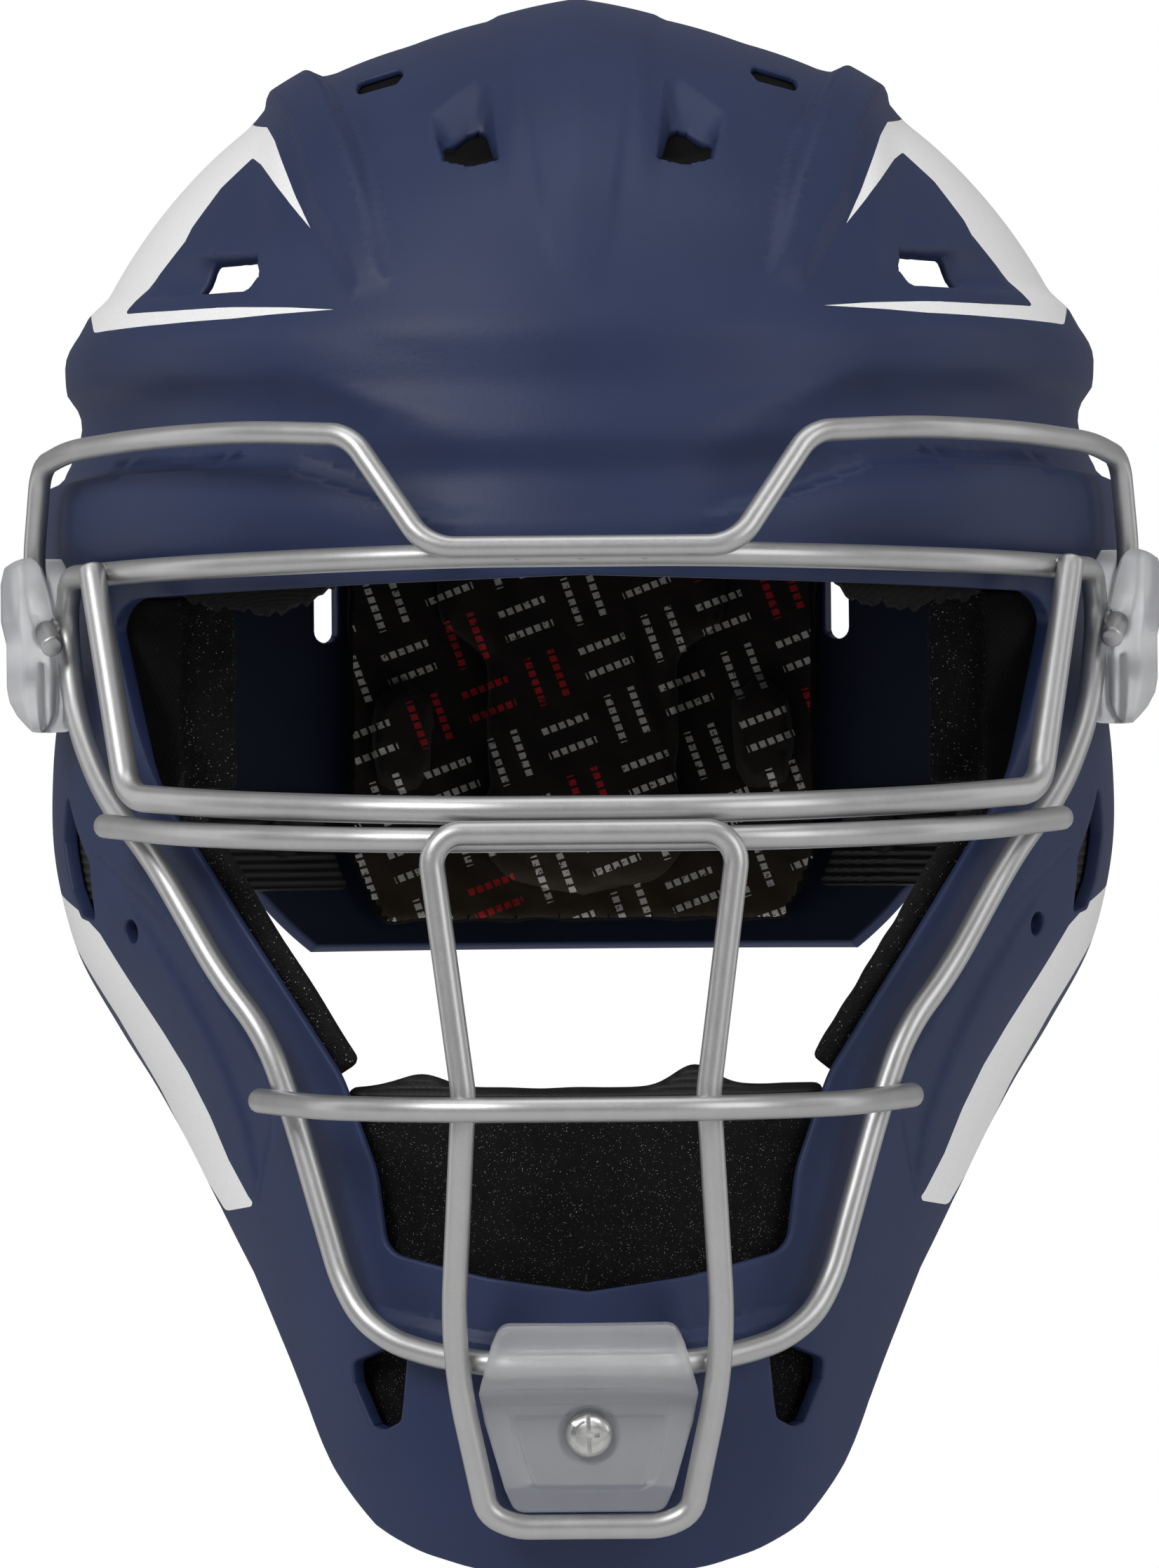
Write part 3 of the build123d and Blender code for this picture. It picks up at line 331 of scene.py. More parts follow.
def give_wall(bm, deep, lip, lining):
    """Close an open sheet with an inner face at each vertex's deep place, and round its rims."""
    sharpest = 0.7
    outer = bm.verts[:]
    faces = bm.faces[:]
    inner = {v: bm.verts.new(v[deep]) for v in outer}
    away = {}
    rims = []
    for edge in bm.edges:
        if edge.is_boundary:
            loop = edge.link_loops[0]
            a, b = loop.vert, loop.link_loop_next.vert
            out = (b.co - a.co).cross(loop.face.normal)
            rims.append((a, b))
            for v in (a, b):
                away.setdefault(v, []).append(out)
    strips = {}
    for v, outs in away.items():
        side = sum(outs, Vector())
        side = side / max(side.length, 1e-6)
        side = side / max(sharpest, side.dot(outs[0].normalized()))
        through = v.co - inner[v].co
        depth = through.length
        up = through / max(depth, 1e-6)
        r = min(lip, depth / 2)
        top, low = v.co.copy(), inner[v].co.copy()
        strip = [v]
        for k in range(1, RIM_STEPS + 1):
            a = k / RIM_STEPS * pi / 2
            strip.append(bm.verts.new(top - up * r + (up * cos(a) + side * sin(a)) * r))
        for k in range(RIM_STEPS):
            a = k / RIM_STEPS * pi / 2
            strip.append(bm.verts.new(low + up * r + (side * cos(a) - up * sin(a)) * r))
        strips[v] = strip + [inner[v]]
    for a, b in rims:
        for k in range(len(strips[a]) - 1):
            bm.faces.new((strips[b][k], strips[a][k], strips[a][k + 1], strips[b][k + 1]))
    for face in faces:
        bm.faces.new([inner[v] for v in reversed(face.verts[:])]).material_index = lining


def linked(name, data):
    """A new object in the scene."""
    made = bpy.data.objects.new(name, data)
    bpy.context.scene.collection.objects.link(made)
    return made


def coated(mesh, materials):
    """Give a mesh its materials in order, which puts every face that it has on the first."""
    mesh.materials.clear()
    for material in materials:
        mesh.materials.append(material)


def worked_out(piece):
    """The mesh of a piece with its modifiers applied."""
    return bpy.data.meshes.new_from_object(piece.evaluated_get(bpy.context.evaluated_depsgraph_get()))


def settle(piece):
    """Apply a piece's modifiers to its mesh."""
    mesh = worked_out(piece)
    piece.modifiers.clear()
    piece.data = mesh


def mesh_object(name, bm, materials, smooth=True):
    """A mesh in millimetres as an object in metres."""
    bmesh.ops.scale(bm, vec=(MM, MM, MM), verts=bm.verts[:])
    mesh = bpy.data.meshes.new(name)
    coated(mesh, materials)
    bm.to_mesh(mesh)
    bm.free()
    if smooth:
        mesh.shade_smooth()
    return linked(name, mesh)


# Places on the front shell, in the front view unless named otherwise
def shares(rows, width, height):
    """Points of an outline from its shares of a width and a height."""
    return [Vector((x * width, z * height)) for x, z in rows]


FACE_SHARES = [
    (0.0, -0.101), (0.865, -0.115), (0.783, -0.286), (0.442, -0.550), (0.381, -0.635),
    (0.363, -0.707), (0.182, -0.727), (0.0, -0.739),
]
FACE_RADII = [0.0, 6.0, 40.0, 25.0, 25.0, 5.0, 20.0, 0.0]
REAR_EDGE_SHARES = [
    (0.411, 0.30), (0.411, 0.19), (0.390, 0.0), (0.339, -0.135), (0.229, -0.270), (0.119, -0.387),
    (0.102, -0.419), (0.025, -0.439), (-0.042, -0.450), (-0.212, -0.518), (-0.339, -0.572),
    (-0.466, -0.617), (-0.593, -0.676), (-0.695, -0.734), (-0.780, -0.806), (-0.831, -0.851),
    (-0.881, -0.905), (-0.958, -0.973),
]
FRONT_VENT = ((22.9, 68.5), (11.0, 11.0), [
    (-0.50, 0.08), (-0.05, 0.45), (0.24, 0.51), (0.50, -0.46), (0.13, -0.50), (-0.36, -0.36),
])
FRONT_SCOOP = [
    (-0.60, 0.10), (-0.71, 0.60), (0.17, 1.28), (0.44, 1.16), (0.62, -0.48), (0.10, -0.60),
    (-0.46, -0.42),
]
SIDE_VENT = ((73.0, 41.6), (11.6, 7.4), [
    (-0.76, -0.50), (-0.42, 0.50), (0.46, 0.44), (0.54, -0.05), (0.38, -0.46),
])
SIDE_SCOOP = [
    (-1.50, -0.58), (-1.06, 0.74), (-0.40, 0.66), (0.54, 0.54), (0.60, -0.10), (0.42, -0.58),
]
TOP_VENT = ((41.4, 84.4), (12.0, 6.4), [(-0.48, -0.5), (-0.42, -0.02), (0.45, 0.5), (0.26, -0.10)])
CHIN_VENT = ((41.4, -182.9), (11.0, 18.6), [
    (-0.50, 0.21), (-0.47, -0.02), (-0.14, -0.46), (0.05, -0.50), (0.34, -0.40), (0.38, -0.22),
    (0.50, 0.50),
])
WINDOW = ((-43.5, -78.0), (19.0, 27.0), [
    (0.40, 0.50), (-0.50, -0.06), (-0.50, -0.50), (0.00, -0.46), (0.30, -0.26), (0.50, 0.10),
])
SPINE_SHARES = [
    (0.0, -0.97), (0.060, -0.90), (0.088, -0.74), (0.108, -0.57), (0.160, -0.21), (0.172, 0.62),
    (0.0, 0.62),
]
RIDGE_SHARES = [
    (0.353, -0.860), (0.392, -0.720), (0.447, -0.500), (0.492, -0.229), (0.516, 0.0), (0.525, 0.50),
    (0.600, 0.50), (0.597, 0.0), (0.579, -0.169), (0.548, -0.381), (0.489, -0.695), (0.410, -0.845),
]
JAW_HOLE = ((-70.0, -93.4), 4.8)


def opening(vent, rows=None):
    """A vent's outline on the right half, from its place, size and shares."""
    place, size, own = vent
    flip = -1 if vent is not WINDOW else 1
    return [Vector((place[0] + flip * x * size[0], place[1] + z * size[1])) for x, z in (rows or own)]


def ring(middle, diameter):
    """A round outline."""
    sides = 20
    return [
        Vector((middle[0] + cos(2 * pi * k / sides) * diameter / 2,
                middle[1] + sin(2 * pi * k / sides) * diameter / 2))
        for k in range(sides)
    ]


def vectors(points):
    """Points as vectors."""
    return [Vector(p) for p in points]


def half_closed(points):
    """A half outline closed past the middle plane."""
    points = vectors(points)
    return [Vector((PAST_MIDDLE, points[0].y))] + points + [Vector((PAST_MIDDLE, points[-1].y))]


def anywhere(c):
    """Every place."""
    return True


def in_front(c):
    """Whether a place is on the front of the form."""
    return c.y < 0


def in_front_half(c):
    """Whether a place is ahead of the crown screws."""
    return c.y < CROWN_SCREW[1] - 2


def on_top(c):
    """Whether a place is on the crown."""
    lowest_share = 0.2
    return c.z > CROWN_HEIGHT * lowest_share


def below_eyes(c):
    """Whether a place is on the jaw's front, below the eye port."""
    return c.y < 0 and c.z < -48


SPINE = half_closed(shares(SPINE_SHARES, CROWN_HALF_WIDTH, FRONT_REACH))
RIDGE = shares(RIDGE_SHARES, CROWN_HALF_WIDTH, FRONT_REACH)
FACE = half_closed(arcs(shares(FACE_SHARES, JAW_HALF_WIDTH, CHIN_DROP), FACE_RADII, closed=False))
STRIPES = [
    [(68.8, 76.6), (65.5, 74.6), (63.0, 70.1), (61.2, 65.5), (57.8, 56.8), (54.4, 49.3, 0), (57.7, 53.5),
     (61.9, 59.2), (66.4, 65.7), (68.7, 68.0, 0.4), (75.4, 61.7), (81.5, 53.2), (82.9, 50.2), (88.3, 43.5),
     (91.3, 39.2), (93.9, 34.1, 0.4), (84.0, 33.7), (71.0, 33.5), (59.2, 32.8), (49.4, 31.9, 0), (61.1, 31.5),
     (70.0, 31.0), (83.9, 30.8), (94.4, 30.8), (101.2, 30.9), (102.6, 34.8), (104.4, 39.0), (113.0, 41.0, 0),
     (110.0, 52.0, 0), (98.0, 68.0, 0), (80.0, 86.0, 0)],
    [(111.5, -85.5, 0), (104.9, -89.6), (100.1, -94.0), (94.4, -102.4), (86.7, -113.6), (81.4, -121.9),
     (76.7, -130.9), (72.8, -139.8), (68.7, -146.9), (67.2, -148.8), (73.8, -150.6), (80.5, -141.0),
     (88.0, -127.0), (97.0, -112.0), (106.5, -98.0), (113.0, -90.0, 0)],
]
STRIPE_ENDS = [((26.0, 26.0), (-8.0, 94.0)), ((-10.0, -80.0), (-46.0, -152.0))]
RECESS = [
    (100.4, -78.3), (90.0, -86.8), (80.8, -96.8), (72.0, -107.5), (65.2, -117.5), (64.0, -133.0),
    (66.7, -146.0), (69.4, -132.6), (74.5, -119.0), (80.9, -106.6), (90.4, -91.8),
]
BRIM = [
    (0.0, -10.8), (27.8, -9.8), (42.6, -5.8), (57.8, 0.4), (81.0, 1.9), (97.2, 1.3), (113.0, -0.3),
    (130.0, -0.5),
]


# Relief of the front shell: a rise or a sink is a depth, and a fade is where it starts and its width
SPINE_TOP, SPINE_FALL, SPINE_HALF, SPINE_FADE = 1.7, 2.5, 18.0, 3.0
RIDGE_RISE, RIDGE_FADE, RIDGE_START = 1.8, 2.6, (28, 20)
CROWN_START, SPINE_START, BAND_START, BAND_END = (20, 6), (34, 26), (48, 24), (24, 22)
BAND_PLACES, BAND_SINKS = (14, 18, 36, 54, 60), (1.2, 1.4, 2.6, 1.9, 1.4)
BAND_INNER, BAND_OUTER = (12, 5), (58, 6)
LOBE_SINK, LOBE_INNER, LOBE_LOW, LOBE_TOP, LOBE_REAR = 2.1, (60, 9), (34.5, 7), (84, 8), (70, 30)
SCOOPS = ((FRONT_VENT, FRONT_SCOOP, 5.9), (SIDE_VENT, SIDE_SCOOP, 5.2))
SCOOP_STEEPNESS = 1.1
BROW_HEIGHTS = (-23.0, -15.0, -6.0, -1.4, 0.4, 2.2, 5.5, 9.0, 12.5, 16.0, 19.0, 25.0, 31.0)
BROW_RISES = (0.0, 0.8, 1.4, 1.3, -1.5, -2.7, -3.0, -2.6, -1.5, 0.3, 1.6, 0.9, 0.0)
BROW_REAR, BROW_MIDDLE, BROW_MIDDLE_SHARE = 35, (14, 34), 0.30
FLANGE_SINK, FLANGE_WIDTH, FLANGE_FADE, FLANGE_TOP, FLANGE_REAR = 1.4, 12.9, 2.4, (-50, 16), 20
RECESS_SINK, RECESS_FADE = 1.2, 2.0


def rising(value, fade):
    """0 before a fade's start, and 1 past its width."""
    return ease((value - fade[0]) / fade[1])


def falling(value, fade):
    """1 until a fade's width ahead of its start, and 0 past the start."""
    return ease((fade[0] - value) / fade[1])


def within(outline, points, fade):
    """1 inside an outline and 0 outside it, with a fade across it."""
    return ease(0.5 - distance(outline, points) / fade)


def raised_front(p):
    """How far the front shell's face stands off the plain form, for bands, scoops, brim and cheeks."""
    x, y, z = np.abs(p[:, 0]), p[:, 1], p[:, 2]
    plan, front = p[:, :2], p[:, [0, 2]]
    ahead = y < 0
    spine, ridge = within(SPINE, plan, SPINE_FADE), within(RIDGE, plan, RIDGE_FADE)
    fade = np.where(ahead, rising(z, SPINE_START), 1) * rising(z, CROWN_START)
    up = fade * spine * (SPINE_TOP - SPINE_FALL * np.clip(x / SPINE_HALF, 0, 1))
    up += RIDGE_RISE * ridge * np.where(ahead, rising(z, RIDGE_START), 1) * rising(z, CROWN_START)
    between = rising(x, BAND_INNER) * falling(x, BAND_OUTER) * (1 - spine) * (1 - ridge)
    between *= rising(z, BAND_START) * falling(y, BAND_END)
    up -= np.interp(x, BAND_PLACES, BAND_SINKS) * between
    lobe = rising(x, LOBE_INNER) * rising(z, LOBE_LOW) * falling(z, LOBE_TOP)
    up -= LOBE_SINK * lobe * (1 - ridge) * falling(y, LOBE_REAR)
    for vent, scoop, sink in SCOOPS:
        outer = -distance(opening(vent, scoop), front)
        inner = distance(opening(vent), front)
        share = np.clip(outer, 0, None) / np.clip(outer + np.clip(inner, 0, None), 1e-6, None)
        up = np.where(ahead, up + (-sink - up) * np.clip(share * SCOOP_STEEPNESS, 0, 1), up)
    away = z - np.interp(x, *np.array(BRIM).T)
    side = BROW_MIDDLE_SHARE + (1 - BROW_MIDDLE_SHARE) * rising(x, BROW_MIDDLE)
    up += np.interp(away, BROW_HEIGHTS, BROW_RISES) * side * falling(y, (BROW_REAR, BROW_REAR))
    flange = falling(distance(FACE, front), (FLANGE_WIDTH, FLANGE_FADE)) * falling(z, FLANGE_TOP)
    up -= FLANGE_SINK * flange * falling(y, (FLANGE_REAR, FLANGE_REAR))
    return up - RECESS_SINK * within(vectors(RECESS), front, RECESS_FADE) * ahead


# The chin's lower edge in the front view, with each corner's radius
CHIN_EDGE = [
    (PAST_MIDDLE, -222.0, 0), (0, -221.7, 0), (12, -221.3, 30), (24, -219.6, 30), (34, -216.9, 30),
    (42, -213.0, 30), (48.5, -207.5, 20), (53, -200.5, 30), (57, -191.0, 0), (120, -191.0, 0), (120, -240, 0),
    (PAST_MIDDLE, -240, 0),
]


def build_front_shell(finishes):
    """The painted front shell: crown, brim, cheeks and chin in one sheet."""
    sheet = Sheet()
    rear = [(FRONT_REACH * y, CHIN_DROP * z) for y, z in REAR_EDGE_SHARES]
    behind = [(rear[0][0], FAR_TOP), *rear, (rear[-1][0], FAR_LOW), (FAR_OUT, FAR_LOW), (FAR_OUT, FAR_TOP)]
    sheet.cut(vectors(behind), "side", anywhere)
    sheet.cut(FACE, "front", in_front)
    sheet.cut(arcs(vectors(q[:2] for q in CHIN_EDGE), [q[2] for q in CHIN_EDGE]), "front", in_front)
    step_half, scoop_half = 1.4, 0.35
    vent_corner, window_corner, stripe_corner = 1.2, 1.5, 1.2
    for outline in (SPINE, RIDGE):
        for by in (-step_half, 0.0, step_half):
            sheet.score(grown(outline, by), "plan", on_top)
    for vent, scoop, _ in SCOOPS:
        for by in (-scoop_half, scoop_half):
            sheet.score(grown(opening(vent, scoop), by), "front", in_front)
    for by in BROW_HEIGHTS[3:6]:
        sheet.score([Vector((x, z + by)) for x, z in BRIM[1:]], "front", in_front, closed=False)
    for vent in (FRONT_VENT, SIDE_VENT, TOP_VENT, CHIN_VENT):
        sheet.cut(arcs(opening(vent), [vent_corner] * len(vent[2]), step=0.6), "front", in_front)
    sheet.cut(arcs(opening(WINDOW), [window_corner] * len(WINDOW[2]), step=0.8), "side", anywhere)
    sheet.cut(ring(*JAW_HOLE), "side", anywhere)
    for by in (FLANGE_WIDTH - FLANGE_FADE, FLANGE_WIDTH):
        sheet.score(grown(FACE, by), "front", below_eyes)
    sheet.score(vectors(RECESS), "front", in_front)
    for stripe, (low, high) in zip(STRIPES, STRIPE_ENDS):
        sheet.score(vectors((low, high)), "side", in_front_half, closed=False)
        radii = [q[2] if len(q) > 2 else stripe_corner for q in stripe]
        outline = arcs(vectors(q[:2] for q in stripe), radii, step=0.7)
        lean = (high[0] - low[0]) / (high[1] - low[1])
        sheet.paint(outline, "front", lambda c: c.y < low[0] + lean * (c.z - low[1]), 1)
    return sheet.finish("front_shell_paint", WALL, RIM, finishes, raised=raised_front)


# The rear plate: its front edge, hole and slot, then the tongue and the step that reach under the crown
PLATE_FRONT, PLATE_LOW, PLATE_START, BEHIND_EARS = 51.5, -106.0, pi / 2 - 0.25, 30
PLATE_EDGE_SHARES = [
    (0.0, 0.30), (0.013, 0.09), (0.022, -0.09), (0.055, -0.216), (0.14, -0.318), (0.242, -0.404),
    (0.275, -0.456),
]
PLATE_HOLE, PLATE_HOLE_CORNER = ((67.5, 39.0), (89.0, 39.0), (85.5, 53.0), (71.0, 53.0)), 1.5
SLOT_ACROSS, SLOT_UP, SLOT_HALF, SLOT_RADIUS = 59.0, -21.0, 8.5, 2.5
TONGUE_INSET, TONGUE_WALL, TONGUE_LOW, TONGUE_START = 4.8, 3.0, -1.0, pi / 4
TONGUE_HALF, TONGUE_FRONT, TONGUE_REAR, TONGUE_CORNER = 45.0, 22.0, 60.5, 9.0
STEP_INSET, STEP_WALL, STEP_RIM, STEP_FRONT = 3.1, 1.9, 0.5, 51.8
CROWN_SCREW, SCREW_HOLE = (30.0, 42.0), 7.5


def build_rear_shell(finishes):
    """The painted rear plate, its tongue under the crown and the step between them."""
    plate = [(PLATE_FRONT + REAR_REACH * y, CHIN_DROP * z) for y, z in PLATE_EDGE_SHARES]
    sheet = Sheet(low=PLATE_LOW, first=PLATE_START)
    sheet.keep(vectors([(PLATE_FRONT, FAR_TOP), *plate, (FAR_OUT, plate[-1][1]), (FAR_OUT, FAR_TOP)]), "side")
    behind = lambda c: c.y > BEHIND_EARS
    slot = []
    for a in np.linspace(0.01, 2 * pi - 0.01, 20):
        end = SLOT_HALF * (1 if sin(a) >= 0 else -1)
        slot.append(Vector((SLOT_ACROSS + SLOT_RADIUS * cos(a), SLOT_UP + end + SLOT_RADIUS * sin(a))))
    sheet.cut(slot, "front", behind)
    sheet.cut(arcs(vectors(PLATE_HOLE), [PLATE_HOLE_CORNER] * len(PLATE_HOLE), step=0.6), "front", behind)
    shell = sheet.finish("rear_shell_paint", WALL, RIM, finishes)
    tongue = Sheet(inset=TONGUE_INSET, low=TONGUE_LOW, first=TONGUE_START)
    round_end = [
        (TONGUE_HALF - TONGUE_CORNER * (1 - cos(a)), TONGUE_FRONT + TONGUE_CORNER * (1 - sin(a)))
        for a in np.linspace(0, pi / 2, 8)
    ]
    sides = [(TONGUE_HALF, TONGUE_REAR), *round_end, (PAST_MIDDLE, TONGUE_FRONT), (PAST_MIDDLE, TONGUE_REAR)]
    tongue.keep(vectors(sides), "plan")
    tongue.cut(ring(CROWN_SCREW, SCREW_HOLE), "plan", on_top)
    lower = tongue.finish("rear_tongue", TONGUE_WALL, RIM, finishes)
    step = Sheet(inset=STEP_INSET, low=TONGUE_LOW, first=TONGUE_START)
    step.keep(vectors([(PAST_MIDDLE, STEP_FRONT), (TONGUE_HALF, STEP_FRONT), (TONGUE_HALF, TONGUE_REAR),
                       (PAST_MIDDLE, TONGUE_REAR)]), "plan")
    return joined("rear_shell_paint", [shell, lower, step.finish("rear_step", STEP_WALL, STEP_RIM, finishes)])


def joined(name, pieces):
    """Several mesh objects as one."""
    whole = bmesh.new()
    for piece in pieces:
        whole.from_mesh(piece.data)
    mesh = pieces[0].data
    whole.to_mesh(mesh)
    whole.free()
    for piece in pieces[1:]:
        bpy.data.objects.remove(piece)
    pieces[0].name = name
    return pieces[0]


# The cage: half routes outwards from the middle, as shares of width, height and stand or reach, with each
# bend's radius in wires, or 0 for the widest that its runs allow
WIRE, CAGE_STAND, PAINTED_RADIUS, RUN_SHARE = 4.6, 10.0, 2.5, 0.45
WIRE_RADII = {"cage_brow_bar": 2.3, "cage_eye_frame": 2.8}
WIRE_SIDES, END_LENGTH_SHARE, END_NARROWING = 18, 0.35, 0.45
WELD_REACH, WELD_SPACING, MOST_WELDS, WELD_SIZE = WIRE + 1.1, 9, 8, Vector((1.9, 1.7, 1.9))
CAGE = {
    "cage_perimeter_loop": ("hug", True, [
        (0.200, -0.084, 1.28, 0), (0.442, -0.086, 1.05, 0), (0.752, -0.089, 0.80, 0),
        (0.935, -0.092, 0.52, 1.5), (0.947, -0.135, 0.5, 0), (0.926, -0.225, 0.5, 0),
        (0.864, -0.298, 0.5, 0), (0.773, -0.352, 0.5, 0), (0.649, -0.459, 0.5, 0),
        (0.566, -0.513, 0.5, 0), (0.515, -0.586, 0.5, 0), (0.469, -0.667, 0.5, 0),
        (0.433, -0.730, 0.5, 0), (0.397, -0.764, 0.5, 0), (0.340, -0.785, 0.5, 0),
        (0.260, -0.796, 0.55, 0), (0.159, -0.802, 0.75, 0)]),
    "cage_brow_bar": ("hug", False, [
        (0.269, -0.078, 1.95, 2.2), (0.405, 0.025, 1.75, 2.2), (0.590, 0.031, 1.55, 0),
        (0.780, 0.030, 1.15, 0), (0.930, 0.024, 0.95, 0), (0.990, 0.012, 0.85, 1.6),
        (1.008, -0.077, 0.80, 0), (0.998, -0.126, 0.94, 0), (0.968, -0.156, 1.10, 0)]),
    "cage_eye_frame": ("reach", False, [
        (0.180, -0.311, 1.252, 0), (0.380, -0.309, 1.195, 0), (0.637, -0.304, 1.017, 0),
        (0.812, -0.297, 0.822, 2.0), (0.885, -0.088, 0.622, 0)]),
    "cage_upper_bar": ("reach", False, [
        (0.300, -0.337, 1.243, 0), (0.549, -0.334, 1.110, 0), (0.726, -0.330, 0.908, 0),
        (0.862, -0.323, 0.683, 0)]),
    "cage_lower_bar": ("reach", False, [
        (0.160, -0.573, 1.355, 0), (0.320, -0.573, 1.300, 0), (0.450, -0.573, 1.185, 0),
        (0.522, -0.572, 1.052, 0), (0.577, -0.571, 0.937, 0)]),
    "cage_muzzle_loop": ("reach", True, [
        (0.270, -0.331, 1.284, 1.3), (0.211, -0.563, 1.293, 0), (0.215, -0.590, 1.290, 0),
        (0.237, -0.793, 1.196, 0), (0.178, -0.935, 1.157, 0), (0.128, -0.947, 1.155, 0)]),
}


def on_face(x, z, stand):
    """The point in front of the form at a width and height, off it by a stand."""
    half, centre, front = [np.interp(z, FORM[:, 0], FORM[:, k]) for k in (1, 2, 3)]
    ring_share = sqrt(1 - (max(z, 0) / CROWN_HEIGHT) ** 2)
    half, front = half * ring_share, front * ring_share
    bulge = sqrt(max(0.0, 1 - (x / (half + stand)) ** 2))
    return Vector((x, centre - (centre - front + stand) * bulge, z))


def route(name):
    """The whole centre line of a wire of the cage, bends included."""
    kind, closed, rows = CAGE[name]
    points, bends = [], [0]
    for x, z, off, bend in rows:
        bends.append(bend * WIRE)
        across, up = x * JAW_HALF_WIDTH, z * CHIN_DROP
        if kind == "hug":
            points.append(on_face(across, up, off * CAGE_STAND))
        else:
            points.append(Vector((across, -off * FRONT_REACH, up)))
    points = [Vector((0, points[0].y, points[0].z))] + points
    if closed:
        points.append(Vector((0, points[-1].y, points[-1].z)))
        bends.append(0)
    radii = [0.0] * len(points)
    for i in range(1, len(points) - 1):
        before, after = points[i] - points[i - 1], points[i + 1] - points[i]
        turn = before.angle(after)
        widest = RUN_SHARE * min(before.length, after.length) / max(tan(turn / 2), 1e-4)
        radii[i] = min(bends[i], widest) if bends[i] else widest
    half = arcs(points, radii, closed=False, step=1.2)
    other = [Vector((-p.x, p.y, p.z)) for p in half]
    if closed:
        return half[:-1] + other[:0:-1], True
    return other[:0:-1] + half, False


def resampled(points, closed, step):
    """A centre line as points about a step apart."""
    ends = points + points[:1] if closed else points
    out = []
    for a, b in zip(ends, ends[1:]):
        parts = max(1, int((b - a).length / step))
        out += [a.lerp(b, k / parts) for k in range(parts)]
    return out if closed else out + [ends[-1]]


def tube(bm, points, closed, radius):
    """A round bar along a centre line, with softly rounded ends if it's open."""
    count, sides = len(points), WIRE_SIDES
    along = []
    for i in range(count):
        a = points[i - 1] if closed or i else points[0]
        b = points[(i + 1) % count] if closed or i < count - 1 else points[-1]
        along.append((b - a).normalized())
    side = along[0].orthogonal().normalized()
    frames = []
    for t in along:
        side = (side - t * side.dot(t)).normalized()
        frames.append((side.copy(), t.cross(side)))
    twist = 0.0
    if closed:
        last = (frames[-1][0] - along[0] * frames[-1][0].dot(along[0])).normalized()
        twist = np.arctan2(last.dot(frames[0][1]), last.dot(frames[0][0]))
    rings = []
    for i, (p, (u, v)) in enumerate(zip(points, frames)):
        rings.append([
            bm.verts.new(p + (u * cos(a) + v * sin(a)) * radius)
            for a in (2 * pi * k / sides - twist * i / count for k in range(sides))
        ])
    if not closed:
        for end, way in ((0, -1), (-1, 1)):
            base, (u, v), t = points[end], frames[end], along[end] * way
            caps = []
            for k in range(1, 4):
                a = k / 4 * pi / 2
                narrow = 1 - END_NARROWING * (1 - cos(a))
                caps.append([
                    bm.verts.new(base + t * radius * END_LENGTH_SHARE * sin(a)
                                 + (u * cos(b) + v * sin(b)) * radius * narrow)
                    for b in (2 * pi * j / sides for j in range(sides))
                ])
            tip = caps[-1]
            bm.faces.new(tip[::-1] if way < 0 else tip)
            rings = caps[::-1] + rings if way < 0 else rings + caps
    pairs = list(zip(rings, rings[1:])) + ([(rings[-1], rings[0])] if closed else [])
    for low, high in pairs:
        for k in range(sides):
            n = (k + 1) % sides
            bm.faces.new((low[k], low[n], high[n], high[k]))
    return bm


def bead(bm, place):
    """A small lump of weld metal, a little uneven."""
    unevenness = 0.12
    for v in bmesh.ops.create_icosphere(bm, subdivisions=2, radius=1.0)["verts"]:
        wobble = 1 + unevenness * sin(v.co.x * 7 + place[0]) * cos(v.co.z * 5 + place[2])
        v.co = v.co * WELD_SIZE * wobble + Vector(place)


def build_cage(finishes):
    """The welded cage: six bent wires, with a bead of weld where they cross."""
    ring_step, weld_step = 2.0, 0.6
    lines = {name: route(name) for name in CAGE}
    fine = {name: np.array([tuple(p) for p in resampled(*lines[name], weld_step)]) for name in CAGE}
    beads = {name: [] for name in CAGE}
    names = list(CAGE)
    for i, one in enumerate(names):
        for two in names[i + 1:]:
            a, b = fine[one], fine[two]
            gap = np.linalg.norm(a[:, None] - b[None], axis=2)
            close = [tuple(ij) for ij in np.argwhere(gap < WELD_REACH)]
            close.sort(key=lambda ij: gap[ij])
            taken = []
            for ij in close:
                middle = (a[ij[0]] + b[ij[1]]) / 2
                if all(np.linalg.norm(middle - m) > WELD_SPACING for m in taken) and len(taken) < MOST_WELDS:
                    taken.append(middle)
            beads[two] += taken
    pieces = []
    for name in names:
        points, closed = lines[name]
        points = resampled(points, closed, ring_step)
        bm = tube(bmesh.new(), points, closed, WIRE_RADII.get(name, PAINTED_RADIUS))
        for middle in beads[name]:
            bead(bm, middle)
        bmesh.ops.recalc_face_normals(bm, faces=bm.faces[:])
        piece = mesh_object(name + "_wire", bm, finishes)
        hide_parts(name)
        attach(piece, "root")
        pieces.append(piece)
    return pieces


def uneven(p):
    """A slow wave over a soft face, for its small unevenness."""
    return sin(p.x * 0.31 + p.y * 0.17) * cos(p.z * 0.27 - p.y * 0.21) + 0.5 * sin(p.z * 0.63 + p.x * 0.5)


